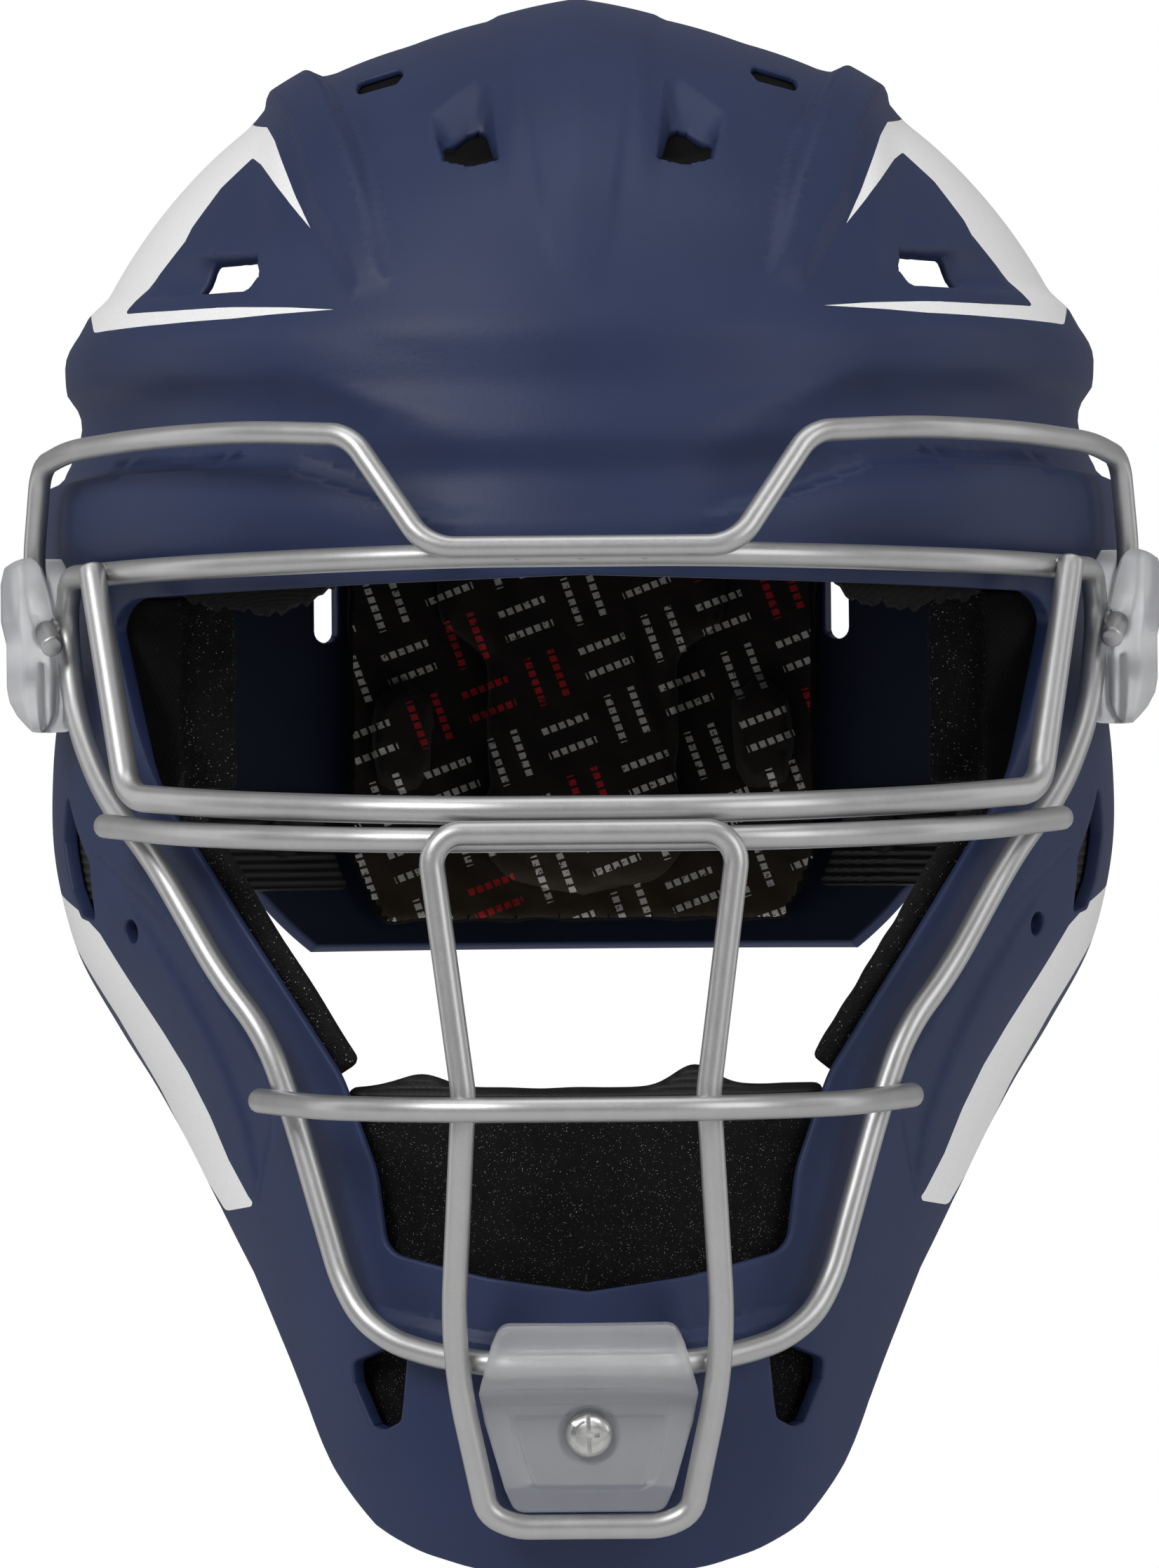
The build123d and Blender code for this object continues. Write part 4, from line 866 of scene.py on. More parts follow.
def softened(node, name, voxel, rounds, finishes, swell, ripple=0.0):
    """A soft or moulded piece from its solid: corners eased, faces swelled and lightly uneven."""
    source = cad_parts[node]
    mesh = worked_out(source)
    mesh.transform(source.matrix_world)
    piece = linked(name, mesh)
    remesh = piece.modifiers.new("even", "REMESH")
    remesh.mode, remesh.voxel_size, remesh.use_smooth_shade = "VOXEL", voxel * MM, True
    smooth = piece.modifiers.new("ease", "SMOOTH")
    smooth.factor, smooth.iterations = 0.5, rounds
    settle(piece)
    bm = bmesh.new()
    bm.from_mesh(piece.data)
    bm.normal_update()
    for v in bm.verts:
        v.co += v.normal * (swell + ripple * uneven(v.co / MM)) * MM
    bm.to_mesh(piece.data)
    bm.free()
    coated(piece.data, finishes)
    piece.data.shade_smooth()
    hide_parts(node)
    return piece


# Finishes: a socket that does arithmetic, and a tree of nodes that holds it
def shaded(colour, share):
    """A colour made darker or brighter."""
    return [share * channel for channel in colour]


class Value:
    """One socket of a node tree, with arithmetic on it."""

    def __init__(self, graph, socket):
        self.graph, self.socket = graph, socket

    def math(self, operation, *values):
        """A number worked out from this one and others."""
        return self.graph.node("ShaderNodeMath", {"operation": operation}, values)

    def __add__(self, other):
        return self.math("ADD", self, other)

    def __radd__(self, other):
        return self.math("ADD", other, self)

    def __sub__(self, other):
        return self.math("SUBTRACT", self, other)

    def __rsub__(self, other):
        return self.math("SUBTRACT", other, self)

    def __mul__(self, other):
        return self.math("MULTIPLY", self, other)

    def __rmul__(self, other):
        return self.math("MULTIPLY", other, self)

    def __truediv__(self, other):
        return self.math("DIVIDE", self, other)

    def __rtruediv__(self, other):
        return self.math("DIVIDE", other, self)

    def __gt__(self, other):
        return self.math("GREATER_THAN", self, other)

    def __lt__(self, other):
        return self.math("LESS_THAN", self, other)

    def floor(self):
        """The whole number at or below this one."""
        return self.math("FLOOR", self)

    def fract(self):
        """What is left over the whole number."""
        return self.math("FRACT", self)

    def size(self):
        """The number without its sign."""
        return self.math("ABSOLUTE", self)

    def wave(self):
        """The sine of the number."""
        return self.math("SINE", self)

    def either(self, other):
        """The larger of two numbers."""
        return self.math("MAXIMUM", self, other)

    def ramp(self, low, high):
        """0 below a low value, 1 above a high one, and smooth between."""
        return self.graph.node(
            "ShaderNodeMapRange", {"interpolation_type": "SMOOTHSTEP"}, (self, low, high, 0.0, 1.0)
        )


class Graph:
    """A node tree that nodes are added to, one call each."""

    def __init__(self, tree):
        self.tree = tree

    def join(self, value, socket):
        """Put a value, or the output of a node, on a socket."""
        if isinstance(value, Value):
            self.tree.links.new(value.socket, socket)
        else:
            socket.default_value = (*value, 1.0) if socket.type == "RGBA" and len(value) == 3 else value

    def node(self, kind, settings=None, values=(), out=0, **named):
        """A node: its settings first, then its inputs by place or name, and the outputs asked for."""
        made = self.tree.nodes.new(kind)
        for key, value in (settings or {}).items():
            setattr(made, key, value)
        places = values if isinstance(values, dict) else dict(enumerate(values))
        for key, value in {**places, **named}.items():
            self.join(value, made.inputs[key])
        if isinstance(out, tuple):
            return [Value(self, made.outputs[key]) for key in out]
        return Value(self, made.outputs[out])


class Finish(Graph):
    """A material of one surface shader, with the nodes that feed it."""

    def __init__(self, name, **constants):
        self.material = bpy.data.materials.new(name)
        self.material.use_nodes = True
        super().__init__(self.material.node_tree)
        self.surface = self.tree.nodes["Principled BSDF"]
        self.feed(**constants)

    def place(self):
        """The place on the piece, in metres."""
        return self.node("ShaderNodeTexCoord", out="Object")

    def axes(self):
        """The three numbers of a place, in millimetres."""
        parts = self.node("ShaderNodeSeparateXYZ", values=(self.place(),), out=(0, 1, 2))
        return [part * (1 / MM) for part in parts]

    def noise(self, size, detail=2.0, rough=0.5):
        """Even noise, with features of a size in millimetres."""
        return self.node(
            "ShaderNodeTexNoise", Vector=self.place(), Scale=1 / MM / size, Detail=detail, Roughness=rough
        )

    def cells(self, size, feature="F1", out=0):
        """Cells of a size in millimetres."""
        return self.node(
            "ShaderNodeTexVoronoi", {"feature": feature}, out=out, Vector=self.place(), Scale=1 / MM / size
        )

    def grains(self, size):
        """A fixed number between 0 and 1 for each cell of a size."""
        return self.node("ShaderNodeSeparateColor", values=(self.cells(size, out="Color"),))

    def random(self, a, b):
        """A fixed number between 0 and 1 for each pair of whole numbers."""
        joint = self.node("ShaderNodeCombineXYZ", values=(a, b, 0.0))
        return self.node("ShaderNodeTexWhiteNoise", {"noise_dimensions": "3D"}, Vector=joint)

    def mix(self, share, one, two):
        """A colour between two."""
        return self.node("ShaderNodeMix", {"data_type": "RGBA"}, {0: share, 6: one, 7: two}, out=2)

    def feed(self, **values):
        """Set or drive the surface's own inputs, named with underscores for spaces."""
        for key, value in values.items():
            self.join(value, self.surface.inputs[key.replace("_", " ").title().replace("Ior", "IOR")])

    def relief(self, height, depth):
        """Small relief of a depth in millimetres."""
        self.feed(normal=self.node("ShaderNodeBump", Height=height, Distance=depth * MM))


def paint_finish(name, colour, rough):
    """Satin paint with a faint orange peel, cloudy gloss and a few specks of dust."""
    f = Finish(name, specular_ior_level=0.28)
    peel = f.noise(0.9, 3.0)
    cloud = f.noise(28.0, 3.0)
    specks = (f.cells(1.6, out="Distance") < 0.05) * (f.noise(9.0) > 0.64)
    tone = f.mix(cloud.ramp(0.35, 0.7), shaded(colour, 0.94), shaded(colour, 1.06))
    f.feed(base_color=f.mix(specks * 0.2, tone, (0.35, 0.36, 0.4)))
    f.feed(roughness=rough + cloud * 0.08 + peel * 0.04 + specks * 0.2)
    f.relief(peel + cloud * 0.3, 0.035)
    return f.material


def decal_finish(name, colour):
    """White print on the paint, faintly uneven in its ink."""
    f = Finish(name)
    ink = f.noise(0.5, 4.0)
    f.feed(base_color=f.mix(ink.ramp(0.3, 0.75), shaded(colour, 0.92), colour))
    f.feed(roughness=0.36 + ink * 0.12)
    f.relief(ink, 0.02)
    return f.material


def wire_finish(name, colour):
    """Silver powder paint on steel: fine metal flakes under a clear coat, a little uneven."""
    f = Finish(name, coat_roughness=0.20)
    grain = f.grains(0.16)
    cloud = f.noise(6.0, 4.0)
    rub = f.noise(1.7, 6.0, 0.75).ramp(0.60, 0.70)
    mottle = grain * 0.30 + cloud * 0.45 + rub * 0.15
    f.feed(base_color=f.mix(mottle, shaded(colour, 0.74), shaded(colour, 1.08)))
    f.feed(metallic=0.78 + grain * 0.16)
    f.feed(roughness=0.33 + grain * 0.10 + cloud * 0.06 + rub * 0.05)
    f.feed(coat_weight=0.22 + cloud * 0.12)
    f.relief(grain * 0.35 + cloud, 0.010)
    return f.material


def clip_finish(name, clear, tone):
    """Frosted plastic, with flow marks from the mould and fine scuffs."""
    f = Finish(name, transmission_weight=clear, ior=1.42)
    flow = f.noise(7.0, 4.0)
    frost = f.noise(0.35, 3.0)
    scuff = f.noise(2.2, 6.0, 0.8).ramp(0.60, 0.68)
    f.feed(base_color=f.mix(flow, shaded(tone, 0.86), tone))
    f.feed(roughness=0.28 + (1 - clear) * 0.2 + frost * 0.12 + scuff * 0.15)
    f.relief(frost * 0.3 + flow + scuff * 0.2, 0.04)
    return f.material


def foam_finish(name, tone=0.006, cell=0.26):
    """Cut black foam: open cells, with painted glints, a pale colour on some cell walls where light would
    catch them.
    """
    f = Finish(name, specular_ior_level=0.15)
    wall = f.cells(cell * 1.8, feature="DISTANCE_TO_EDGE")
    pick = f.grains(cell)
    thick = f.noise(3.5, 3.0)
    # Painted glint: a few cell walls get a pale colour that stands in for light caught on them, and are made
    # less rough.
    painted_glint = (pick > 0.93 - thick * 0.12) * (f.cells(cell, out="Distance") < 0.34)
    dusty = f.noise(5.0, 4.0)
    base = f.mix(dusty, shaded((1, 1, 1), tone * 0.6), shaded((1.6, 1.55, 1.5), tone))
    # The colour of the painted glints, pale grey.
    painted_glint_colour = f.mix(f.noise(0.6).ramp(0.35, 0.65), (0.04, 0.04, 0.04), (0.55, 0.55, 0.55))
    f.feed(base_color=f.mix(painted_glint * 0.65, base, painted_glint_colour))
    f.feed(roughness=0.92 - painted_glint * 0.5)
    f.relief(wall.ramp(0.0, 0.25) + dusty * 0.3, 0.20)
    return f.material


def cloth_finish(name, colour, thread, nap):
    """Knitted black cloth over foam: rows of stitches, nap and a few pale fibres."""
    f = Finish(name, specular_ior_level=0.12)
    x, y, z = f.axes()
    stitch = (x * (2 * pi / thread) + (z + y) * 2.0).wave() * ((z + y) * (2 * pi / thread)).wave()
    fibre = (f.noise(1.4, 5.0, 0.75) > 0.66) * nap
    worn = f.noise(9.0, 4.0)
    base = f.mix(worn + stitch * 0.25, shaded(colour, 0.6), shaded(colour, 1.8))
    f.feed(base_color=f.mix(fibre, base, (0.22, 0.22, 0.23)))
    f.feed(roughness=0.80 + worn * 0.15)
    f.relief(stitch * 0.5 + worn * 0.6, 0.12)
    return f.material


def print_finish(name, light, red_ink):
    """Dark cloth printed with short broken dashes, level in one cell and upright in the next."""
    f = Finish(name, sheen_weight=0.06, sheen_roughness=0.4, specular_ior_level=0.15)
    x, y, z = f.axes()
    cell = 14.0
    u, v = (x * 0.94 + z * 0.34) / cell, (z * 0.94 - x * 0.34) / cell
    cu, cv = u.floor(), v.floor()
    fu, fv = u.fract(), v.fract()
    odd = ((cu + cv) * 0.5).fract() > 0.25
    along = fu + (fv - fu) * odd
    across = fv + (fu - fv) * odd
    lines = ((across - 0.30).size() < 0.055) + ((across - 0.70).size() < 0.055)
    ends = (along > 0.10) * (along < 0.90)
    broken = (along * 7.0 + across * 0.6).fract() > 0.30
    dashes = lines * ends * broken
    worn = f.noise(0.8, 3.0)
    dashes = dashes * (worn > 0.36)
    red = f.random(cu, cv) > 0.66
    ink = f.mix(red, light, red_ink)
    shade = f.noise(14.0, 3.0)
    low = (z * -1.0).ramp(70.0, 90.0)
    plain = f.mix(shade, (0.0060, 0.0045, 0.0042), (0.0155, 0.0120, 0.0100))
    cloth = f.mix(low * 0.6, plain, (0.040, 0.029, 0.016))
    f.feed(base_color=f.mix(dashes * 0.9, cloth, ink))
    f.feed(roughness=0.72 + shade * 0.15 - dashes * 0.08)
    weave = (x * 11.0).wave() * (z * 11.0).wave()
    f.relief(weave * 0.5 + shade * 0.5 + dashes * 0.3, 0.10)
    return f.material


def ribbed_finish(name, pitch=1.5, tone=0.012):
    """Woven black webbing: ribs across it and a weave along it."""
    f = Finish(name, specular_ior_level=0.35)
    x, y, z = f.axes()
    ribs = (z * (2 * pi / pitch) + f.noise(20.0) * 1.2).wave()
    weave = ((x + y) * 9.0).wave() * (z * 9.0).wave()
    lint = (f.noise(1.0, 5.0, 0.8) > 0.69) * 0.25
    base = f.mix(ribs * 0.5 + 0.5, shaded((1, 1, 1), tone * 0.5), shaded((1.9, 1.9, 2.0), tone))
    f.feed(base_color=f.mix(lint, base, (0.25, 0.25, 0.26)))
    f.feed(roughness=0.62 + weave * 0.08)
    f.relief(ribs + weave * 0.25, 0.30)
    return f.material


def steel_finish(name, tone=0.75, rough=0.16):
    """Plated steel with fine turning marks, smudges and small nicks."""
    f = Finish(name)
    x, y, z = f.axes()
    turned = (((x * x + z * z) * 0.9) * 3.0).wave()
    smudge = f.noise(2.5, 5.0, 0.7)
    nick = f.cells(0.9, out="Distance") < 0.07
    f.feed(base_color=f.mix(smudge, shaded((1, 1, 1), tone * 0.85), shaded((1, 0.99, 0.97), tone)))
    f.feed(metallic=1.0 - nick * 0.2)
    f.feed(roughness=rough + smudge * 0.14 + nick * 0.2)
    f.relief(turned * 0.2 + smudge - nick, 0.015)
    return f.material


def black_plastic_finish(name):
    """Moulded black plastic with a fine texture and rub marks."""
    f = Finish(name)
    grit = f.noise(0.3, 2.0)
    rub = f.noise(3.0, 5.0, 0.75).ramp(0.5, 0.7)
    f.feed(base_color=f.mix(rub, (0.010, 0.010, 0.011), (0.030, 0.030, 0.032)))
    f.feed(roughness=0.38 + grit * 0.12 + rub * 0.12)
    f.relief(grit + rub * 0.3, 0.04)
    return f.material


def floor_finish(name):
    """Pale matt paper with a faint tooth."""
    f = Finish(name, specular_ior_level=0.2)
    tooth = f.noise(1.5, 4.0)
    f.feed(base_color=f.mix(tooth, (0.80, 0.80, 0.80), (0.84, 0.84, 0.84)))
    f.feed(roughness=0.75 + tooth * 0.1)
    f.relief(tooth, 0.05)
    return f.material


FINISHES = {
    "shell": lambda c: paint_finish("navy_paint", c.paint, 0.44),
    # The shells' inside: the same navy paint darkened to about a third as painted shade, and rougher.
    "inner": lambda c: paint_finish("navy_paint_inside_painted_shade", shaded(c.paint, 0.34), 0.62),
    "decal": lambda c: decal_finish("white_print", c.stripe),
    "wire": lambda c: wire_finish("silver_wire_paint", c.wire),
    "side_clip": lambda c: clip_finish("milky_plastic", 0.68, (0.90, 0.905, 0.92)),
    "chin_clip": lambda c: clip_finish("frosted_plastic", 0.80, (0.95, 0.96, 0.97)),
    "cut_foam": lambda c: foam_finish("cut_foam"),
    "edge_foam": lambda c: foam_finish("rough_cut_foam", 0.011, 0.44),
    "foam": lambda c: cloth_finish("liner_cloth", (0.0022, 0.0021, 0.0020), 0.55, 0.04),
    "skin": lambda c: cloth_finish("pad_cloth", (0.0080, 0.0078, 0.0075), 1.1, 0.10),
    "print": lambda c: print_finish("printed_cloth", c.print_light, c.print_red),
    "webbing": lambda c: ribbed_finish("sling_webbing"),
    "elastic": lambda c: ribbed_finish("strap_elastic", 1.9, 0.014),
    "screw": lambda c: steel_finish("plated_steel", 0.62, 0.12),
    "nut": lambda c: steel_finish("zinc_nut", 0.6, 0.3),
    "anchor": lambda c: black_plastic_finish("black_plastic"),
    "floor": lambda c: floor_finish("pale_paper"),
}
MADE = {}


def finish(name):
    """A finish by its name, made once."""
    if name not in MADE:
        MADE[name] = FINISHES[name](bpy.context.scene.helmet_colours)
    return MADE[name]


# Padding: node, voxel, rounds of easing, finishes of face and side, swell, unevenness and how full it is
GROUPS = {
    "front_pads": [
        ("crown_liner", 1.3, 8, ("foam", "foam"), 0.0, 0.15, 0.8),
        ("brow_pad", 1.1, 5, ("skin", "cut_foam"), 0.0, 0.20, 0.9),
        ("temple_pad_left", 0.9, 5, ("skin", "edge_foam"), 0.3, 0.15, 0.9),
        ("temple_pad_right", 0.9, 5, ("skin", "edge_foam"), 0.3, 0.15, 0.9),
        ("jaw_pad_left", 0.8, 4, ("edge_foam", "edge_foam"), 0.2, 0.15, 0.9),
        ("jaw_pad_right", 0.8, 4, ("edge_foam", "edge_foam"), 0.2, 0.15, 0.9),
        ("chin_pad", 1.1, 12, ("cut_foam", "cut_foam"), 0.5, 0.30, 0.9),
        ("chin_sling", 0.8, 3, ("webbing", "webbing"), 0.1, 0.10, 0.5),
    ],
    "rear_pads": [
        ("rear_liner", 1.2, 8, ("print", "foam"), 0.4, 0.35, 0.8),
        ("rear_pad_center", 1.6, 6, ("print", "print"), 0.2, 0.20, 0.8),
        ("rear_pad_left", 1.2, 5, ("print", "print"), 0.2, 0.15, 0.8),
        ("rear_pad_right", 1.2, 5, ("print", "print"), 0.2, 0.15, 0.8),
    ],
}


def dress(piece, body):
    """Give a piece the body that it moves with."""
    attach(piece, body)
    return piece


def stuffed(piece):
    """Swell a pad as stuffed cloth, with no point moving more than a few millimetres."""
    frames, most = 20, 1.8
    scene = bpy.context.scene
    cloth = piece.modifiers.new("stuffing", "CLOTH")
    rules = cloth.settings
    rules.quality, rules.mass, rules.use_pressure, rules.uniform_pressure_force = 6, 0.2, True, 4.0
    rules.tension_stiffness = rules.compression_stiffness = 12.0
    rules.bending_stiffness, rules.effector_weights.gravity = 0.4, 0.0
    cloth.collision_settings.use_collision = False
    cloth.point_cache.frame_start, cloth.point_cache.frame_end = 1, frames
    for number in range(1, frames + 1):
        scene.frame_set(number)
    swelled = piece.evaluated_get(bpy.context.evaluated_depsgraph_get()).data
    places = [v.co.copy() for v in swelled.vertices]
    piece.modifiers.remove(cloth)
    scene.frame_set(1)
    for v, place in zip(piece.data.vertices, places):
        move = place - v.co
        v.co += move * min(1.0, most * MM / max(move.length, 1e-9))


def smoother(piece):
    """Divide each face of a piece once, rounding it."""
    finer = piece.modifiers.new("finer", "SUBSURF")
    finer.levels = finer.render_levels = 1
    settle(piece)


# Sewn channels of the rear pads: place across, lean, and the shape that they share
SEAMS = {"rear_pad_center": ((-17.5, 0.14), (17.5, -0.14)), "rear_pad_left": (), "rear_pad_right": ()}
SEAM_DEPTH, SEAM_HALF, SEAM_SWAY, SEAM_MIDDLE, SEAM_REAR = 1.5, 1.9, 3.0, -40.0, 104.0


def sewn(piece, seams):
    """Press sewn channels into a pad's inner face."""
    for v in piece.data.vertices:
        x, y, z = v.co / MM
        for middle, lean in seams:
            off = x - middle - lean * (z - SEAM_MIDDLE) - SEAM_SWAY * sin(z * 0.06)
            v.co.y += SEAM_DEPTH * np.exp(-(off / SEAM_HALF) ** 2) * MM * float(y < SEAM_REAR)


def beneath_shell(p):
    """The points of a pad, drawn in where they would reach the front shell's inner face."""
    clearance, highest, flattest = 0.5, 88, 0.04
    right_half = np.column_stack([np.abs(p[:, 0]), p[:, 1:]])
    need = np.maximum(WALL, THINNEST - raised_front(right_half)) + clearance
    half, centre, front, _ = sections(p[:, 2])
    lean = np.sqrt(np.clip(1 - (np.clip(p[:, 2], 0, None) / CROWN_HEIGHT) ** 2, flattest, 1))
    off = p[:, 1] - centre
    share = np.hypot(p[:, 0] / np.maximum(half, 1), off / np.maximum(centre - front, 1)) + 1e-6
    limit = 1 - need / lean / (np.hypot(p[:, 0], off) / share + 1e-6)
    scale = np.where((share > limit) & (off < 0) & (p[:, 2] < highest), limit / share, 1.0)
    return np.stack([p[:, 0] * scale, centre + off * scale, p[:, 2]], axis=1)


def numbers(mesh_part, key, width=3):
    """A property of every vertex or polygon, as rows."""
    rows = np.zeros(len(mesh_part) * width)
    mesh_part.foreach_get(key, rows)
    return rows.reshape(-1, width)


def place_all(piece, points):
    """Move every vertex of a piece to its place in millimetres."""
    piece.data.vertices.foreach_set("co", (points * MM).ravel())
    piece.data.update()


# Shape of single pads: the sling's two humps, the brow pad's ragged lower edge and the temple pads' cut sides
HUMPS, HUMP_HALF, HUMP_FADE = ((-33, 2.6), (22, 4.2)), 6, (-131, 5)
RAGGED_TOP, RAGGED_HEIGHT, RAGGED_LIFT, RAGGED_FADE = -8.0, 20.9, 6.5, (58.0, 12.0)
TEMPLE_CUT, SIDE_SLOPE = 83.5, 0.80


def humped(v):
    """Lift a vertex of the sling where the chin's folds stand."""
    x, z = v.co.x / MM, v.co.z / MM
    lift = sum(rise * np.exp(-((x - middle) / HUMP_HALF) ** 2) for middle, rise in HUMPS)
    v.co.z += lift * float(rising(z, HUMP_FADE)) * MM


def ragged(v):
    """Lift a vertex of the brow pad's lower edge, unevenly cut by hand."""
    x, z = v.co.x / MM, v.co.z / MM
    if z < RAGGED_TOP:
        nibbled = 0.8 * sin(x * 0.9) * sin(x * 0.37 + 1.0) + 0.5 * sin(x * 2.3)
        lift = RAGGED_LIFT * float(falling(abs(x), RAGGED_FADE)) + nibbled
        v.co.z += lift * (RAGGED_TOP - z) / RAGGED_HEIGHT * MM


def build_pads(group, body):
    """Foam pads: cloth on their broad faces and cut foam on their sides."""
    for node, voxel, rounds, tones, swell, ripple, fill in GROUPS[group]:
        piece = softened(node, node + "_soft", voxel, rounds, [finish(t) for t in tones], swell, ripple)
        if node in SEAMS:
            stuffed(piece)
            smoother(piece)
            sewn(piece, SEAMS[node])
        if node in ("crown_liner", "brow_pad"):
            place_all(piece, beneath_shell(numbers(piece.data.vertices, "co") / MM))
        middles = numbers(piece.data.polygons, "center")
        out = middles * np.where(middles[:, 2:] > 0, 1.0, np.array([[1.0, 1.0, 0.0]]))
        out /= np.linalg.norm(out, axis=1)[:, None] + 1e-9
        cut = np.abs((out * numbers(piece.data.polygons, "normal")).sum(axis=1)) < SIDE_SLOPE
        if node.startswith("temple"):
            cut = np.abs(middles[:, 0]) < TEMPLE_CUT * MM
        piece.data.polygons.foreach_set("material_index", cut.astype(int))
        shape = {"chin_sling": humped, "brow_pad": ragged}.get(node)
        if shape:
            for v in piece.data.vertices:
                shape(v)
        dress(piece, body)


# Clips: how far out the side clips reach at each height, and the chin clip's sunk panel
SIDE_CLIP_HEIGHTS = (-52.0, -50.8, -48.8, -45.9, -43.0, -34.2, -29.4, -21.6, -18.2, -16.9, -16.2)
SIDE_CLIP_REACHES = (114.5, 115.6, 117.3, 118.8, 119.3, 119.3, 120.4, 120.4, 119.6, 117.8, 116.0)
SIDE_CLIP_INSIDES = (111.9, 110.6, 109.6, 109.2, 109.2, 109.2, 109.2, 110.9, 112.0, 112.9, 114.0)
SIDE_CLIP_OUTER, SIDE_CLIP_DEPTH, SIDE_CLIP_INNER, SIDE_CLIP_OPEN = 112, 8.6, 108.2, 14
SIDE_CLIP_LIFT, SIDE_CLIP_OLD_MIDDLE, SIDE_CLIP_MIDDLE = 1.03, -34.7, -34.2
SIDE_CLIP_AHEAD, SIDE_CLIP_BEHIND = (-36, 4), (-38, 8)
CHIN_PANEL = [
    (-16.2, -182.5), (-15.9, -187.0), (-12.8, -202.2), (12.8, -202.2), (15.9, -187.0), (16.2, -182.5),
]
PANEL_CORNER, PANEL_SINK, PANEL_FADE, PANEL_TOP = 2.6, 0.55, 0.9, -179
CHIN_SCREW_UP, SEAT_SINK, SEAT_FADE = -192.0, 0.5, (6.3, 0.6)


def pressed_panel(points, normals):
    """The chin clip's points, with its sunk panel and the screw's seat."""
    panel = distance(arcs(vectors(CHIN_PANEL), [PANEL_CORNER] * len(CHIN_PANEL)), points[:, [0, 2]])
    off_screw = np.hypot(points[:, 0], points[:, 2] - CHIN_SCREW_UP)
    sunk = PANEL_SINK * ease(0.5 - panel / PANEL_FADE) + SEAT_SINK * falling(off_screw, SEAT_FADE)
    points[:, 1] += sunk * (normals[:, 1] < -0.6) * (points[:, 2] < PANEL_TOP)
    return points


def stepped_sides(points):
    """A side clip's points, with its outer and inner faces stepped as moulded."""
    points[:, 2] = SIDE_CLIP_MIDDLE + (points[:, 2] - SIDE_CLIP_OLD_MIDDLE) * SIDE_CLIP_LIFT
    way, out = np.sign(points[:, 0]), np.abs(points[:, 0])
    reach = np.interp(points[:, 2], SIDE_CLIP_HEIGHTS, SIDE_CLIP_REACHES) - SIDE_CLIP_OUTER
    stretched = SIDE_CLIP_OUTER + (out - SIDE_CLIP_OUTER) * reach / SIDE_CLIP_DEPTH
    out = np.where(out > SIDE_CLIP_OUTER, stretched, out)
    inside = np.interp(points[:, 2], SIDE_CLIP_HEIGHTS, SIDE_CLIP_INSIDES)
    out += falling(points[:, 1], SIDE_CLIP_AHEAD) * (np.maximum(out, inside) - out)
    opened = SIDE_CLIP_INNER - SIDE_CLIP_OPEN * rising(points[:, 1], SIDE_CLIP_BEHIND)
    points[:, 0] = way * np.maximum(out, opened)
    return points


def build_clips():
    """The three moulded clips that hold the cage."""
    for side in ("left", "right"):
        node = "side_clip_" + side
        piece = softened(node, node + "_moulded", 0.45, 12, [finish("side_clip")], 0.25)
        place_all(piece, stepped_sides(numbers(piece.data.vertices, "co") / MM))
        dress(piece, "root")
    piece = softened("chin_clip", "chin_clip_moulded", 0.34, 4, [finish("chin_clip")], 0.1)
    normals = np.array([v.normal for v in piece.data.vertices])
    place_all(piece, pressed_panel(numbers(piece.data.vertices, "co") / MM, normals))
    dress(piece, "root")


def crown_plane(x, y):
    """A place on the crown and the direction square to it."""
    z = CROWN_HEIGHT * sqrt(1 - (x / CROWN_HALF_WIDTH) ** 2 - (y / REAR_REACH) ** 2)
    out = Vector((x / CROWN_HALF_WIDTH**2, y / REAR_REACH**2, z / CROWN_HEIGHT**2)).normalized()
    return Vector((x, y, z)), out


# Screws: where each head sits, the way it faces and its shank, then the form that they share
HEAD_HIGH, SHANK_RADIUS, THREAD_STEP, THREAD_DEPTH = 2.4, 2.1, 0.35, 0.18
SIDE_SCREW, SIDE_SHANK, CROWN_SHANK, CHIN_SHANK = (118.2, -24.0, -40.6), 9.0, 10.5, 7.0
HEAD_PROFILE = [
    (0.0, 1.0), (1.4, 0.99), (2.6, 0.93), (3.6, 0.78), (4.2, 0.56), (4.52, 0.30), (4.6, 0.12), (4.5, 0.0),
]
RECESSES = ((8.0, 0.85, 1.3, 0), (0.95, 4.2, 1.5, 0), (2.6 * 0.62, 2.6 * 0.62, 1.2, pi / 4))
FIRST_TURN, NEXT_TURN, SHARP_EDGE = 1.6, 0.9, radians(38)


def screws():
    """The screws of each node: place, direction and shank."""
    x, y, z = SIDE_SCREW
    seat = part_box("chin_clip_screw")[0].y / MM + HEAD_HIGH
    return {
        "chin_clip_screw": [((0.0, seat, CHIN_SCREW_UP), Vector((0, -1, 0)), CHIN_SHANK)],
        "side_clip_screws": [((s * x, y, z), Vector((s, 0, 0)), SIDE_SHANK) for s in (1, -1)],
        "crown_screws": [(*crown_plane(s * CROWN_SCREW[0], CROWN_SCREW[1]), CROWN_SHANK) for s in (1, -1)],
    }


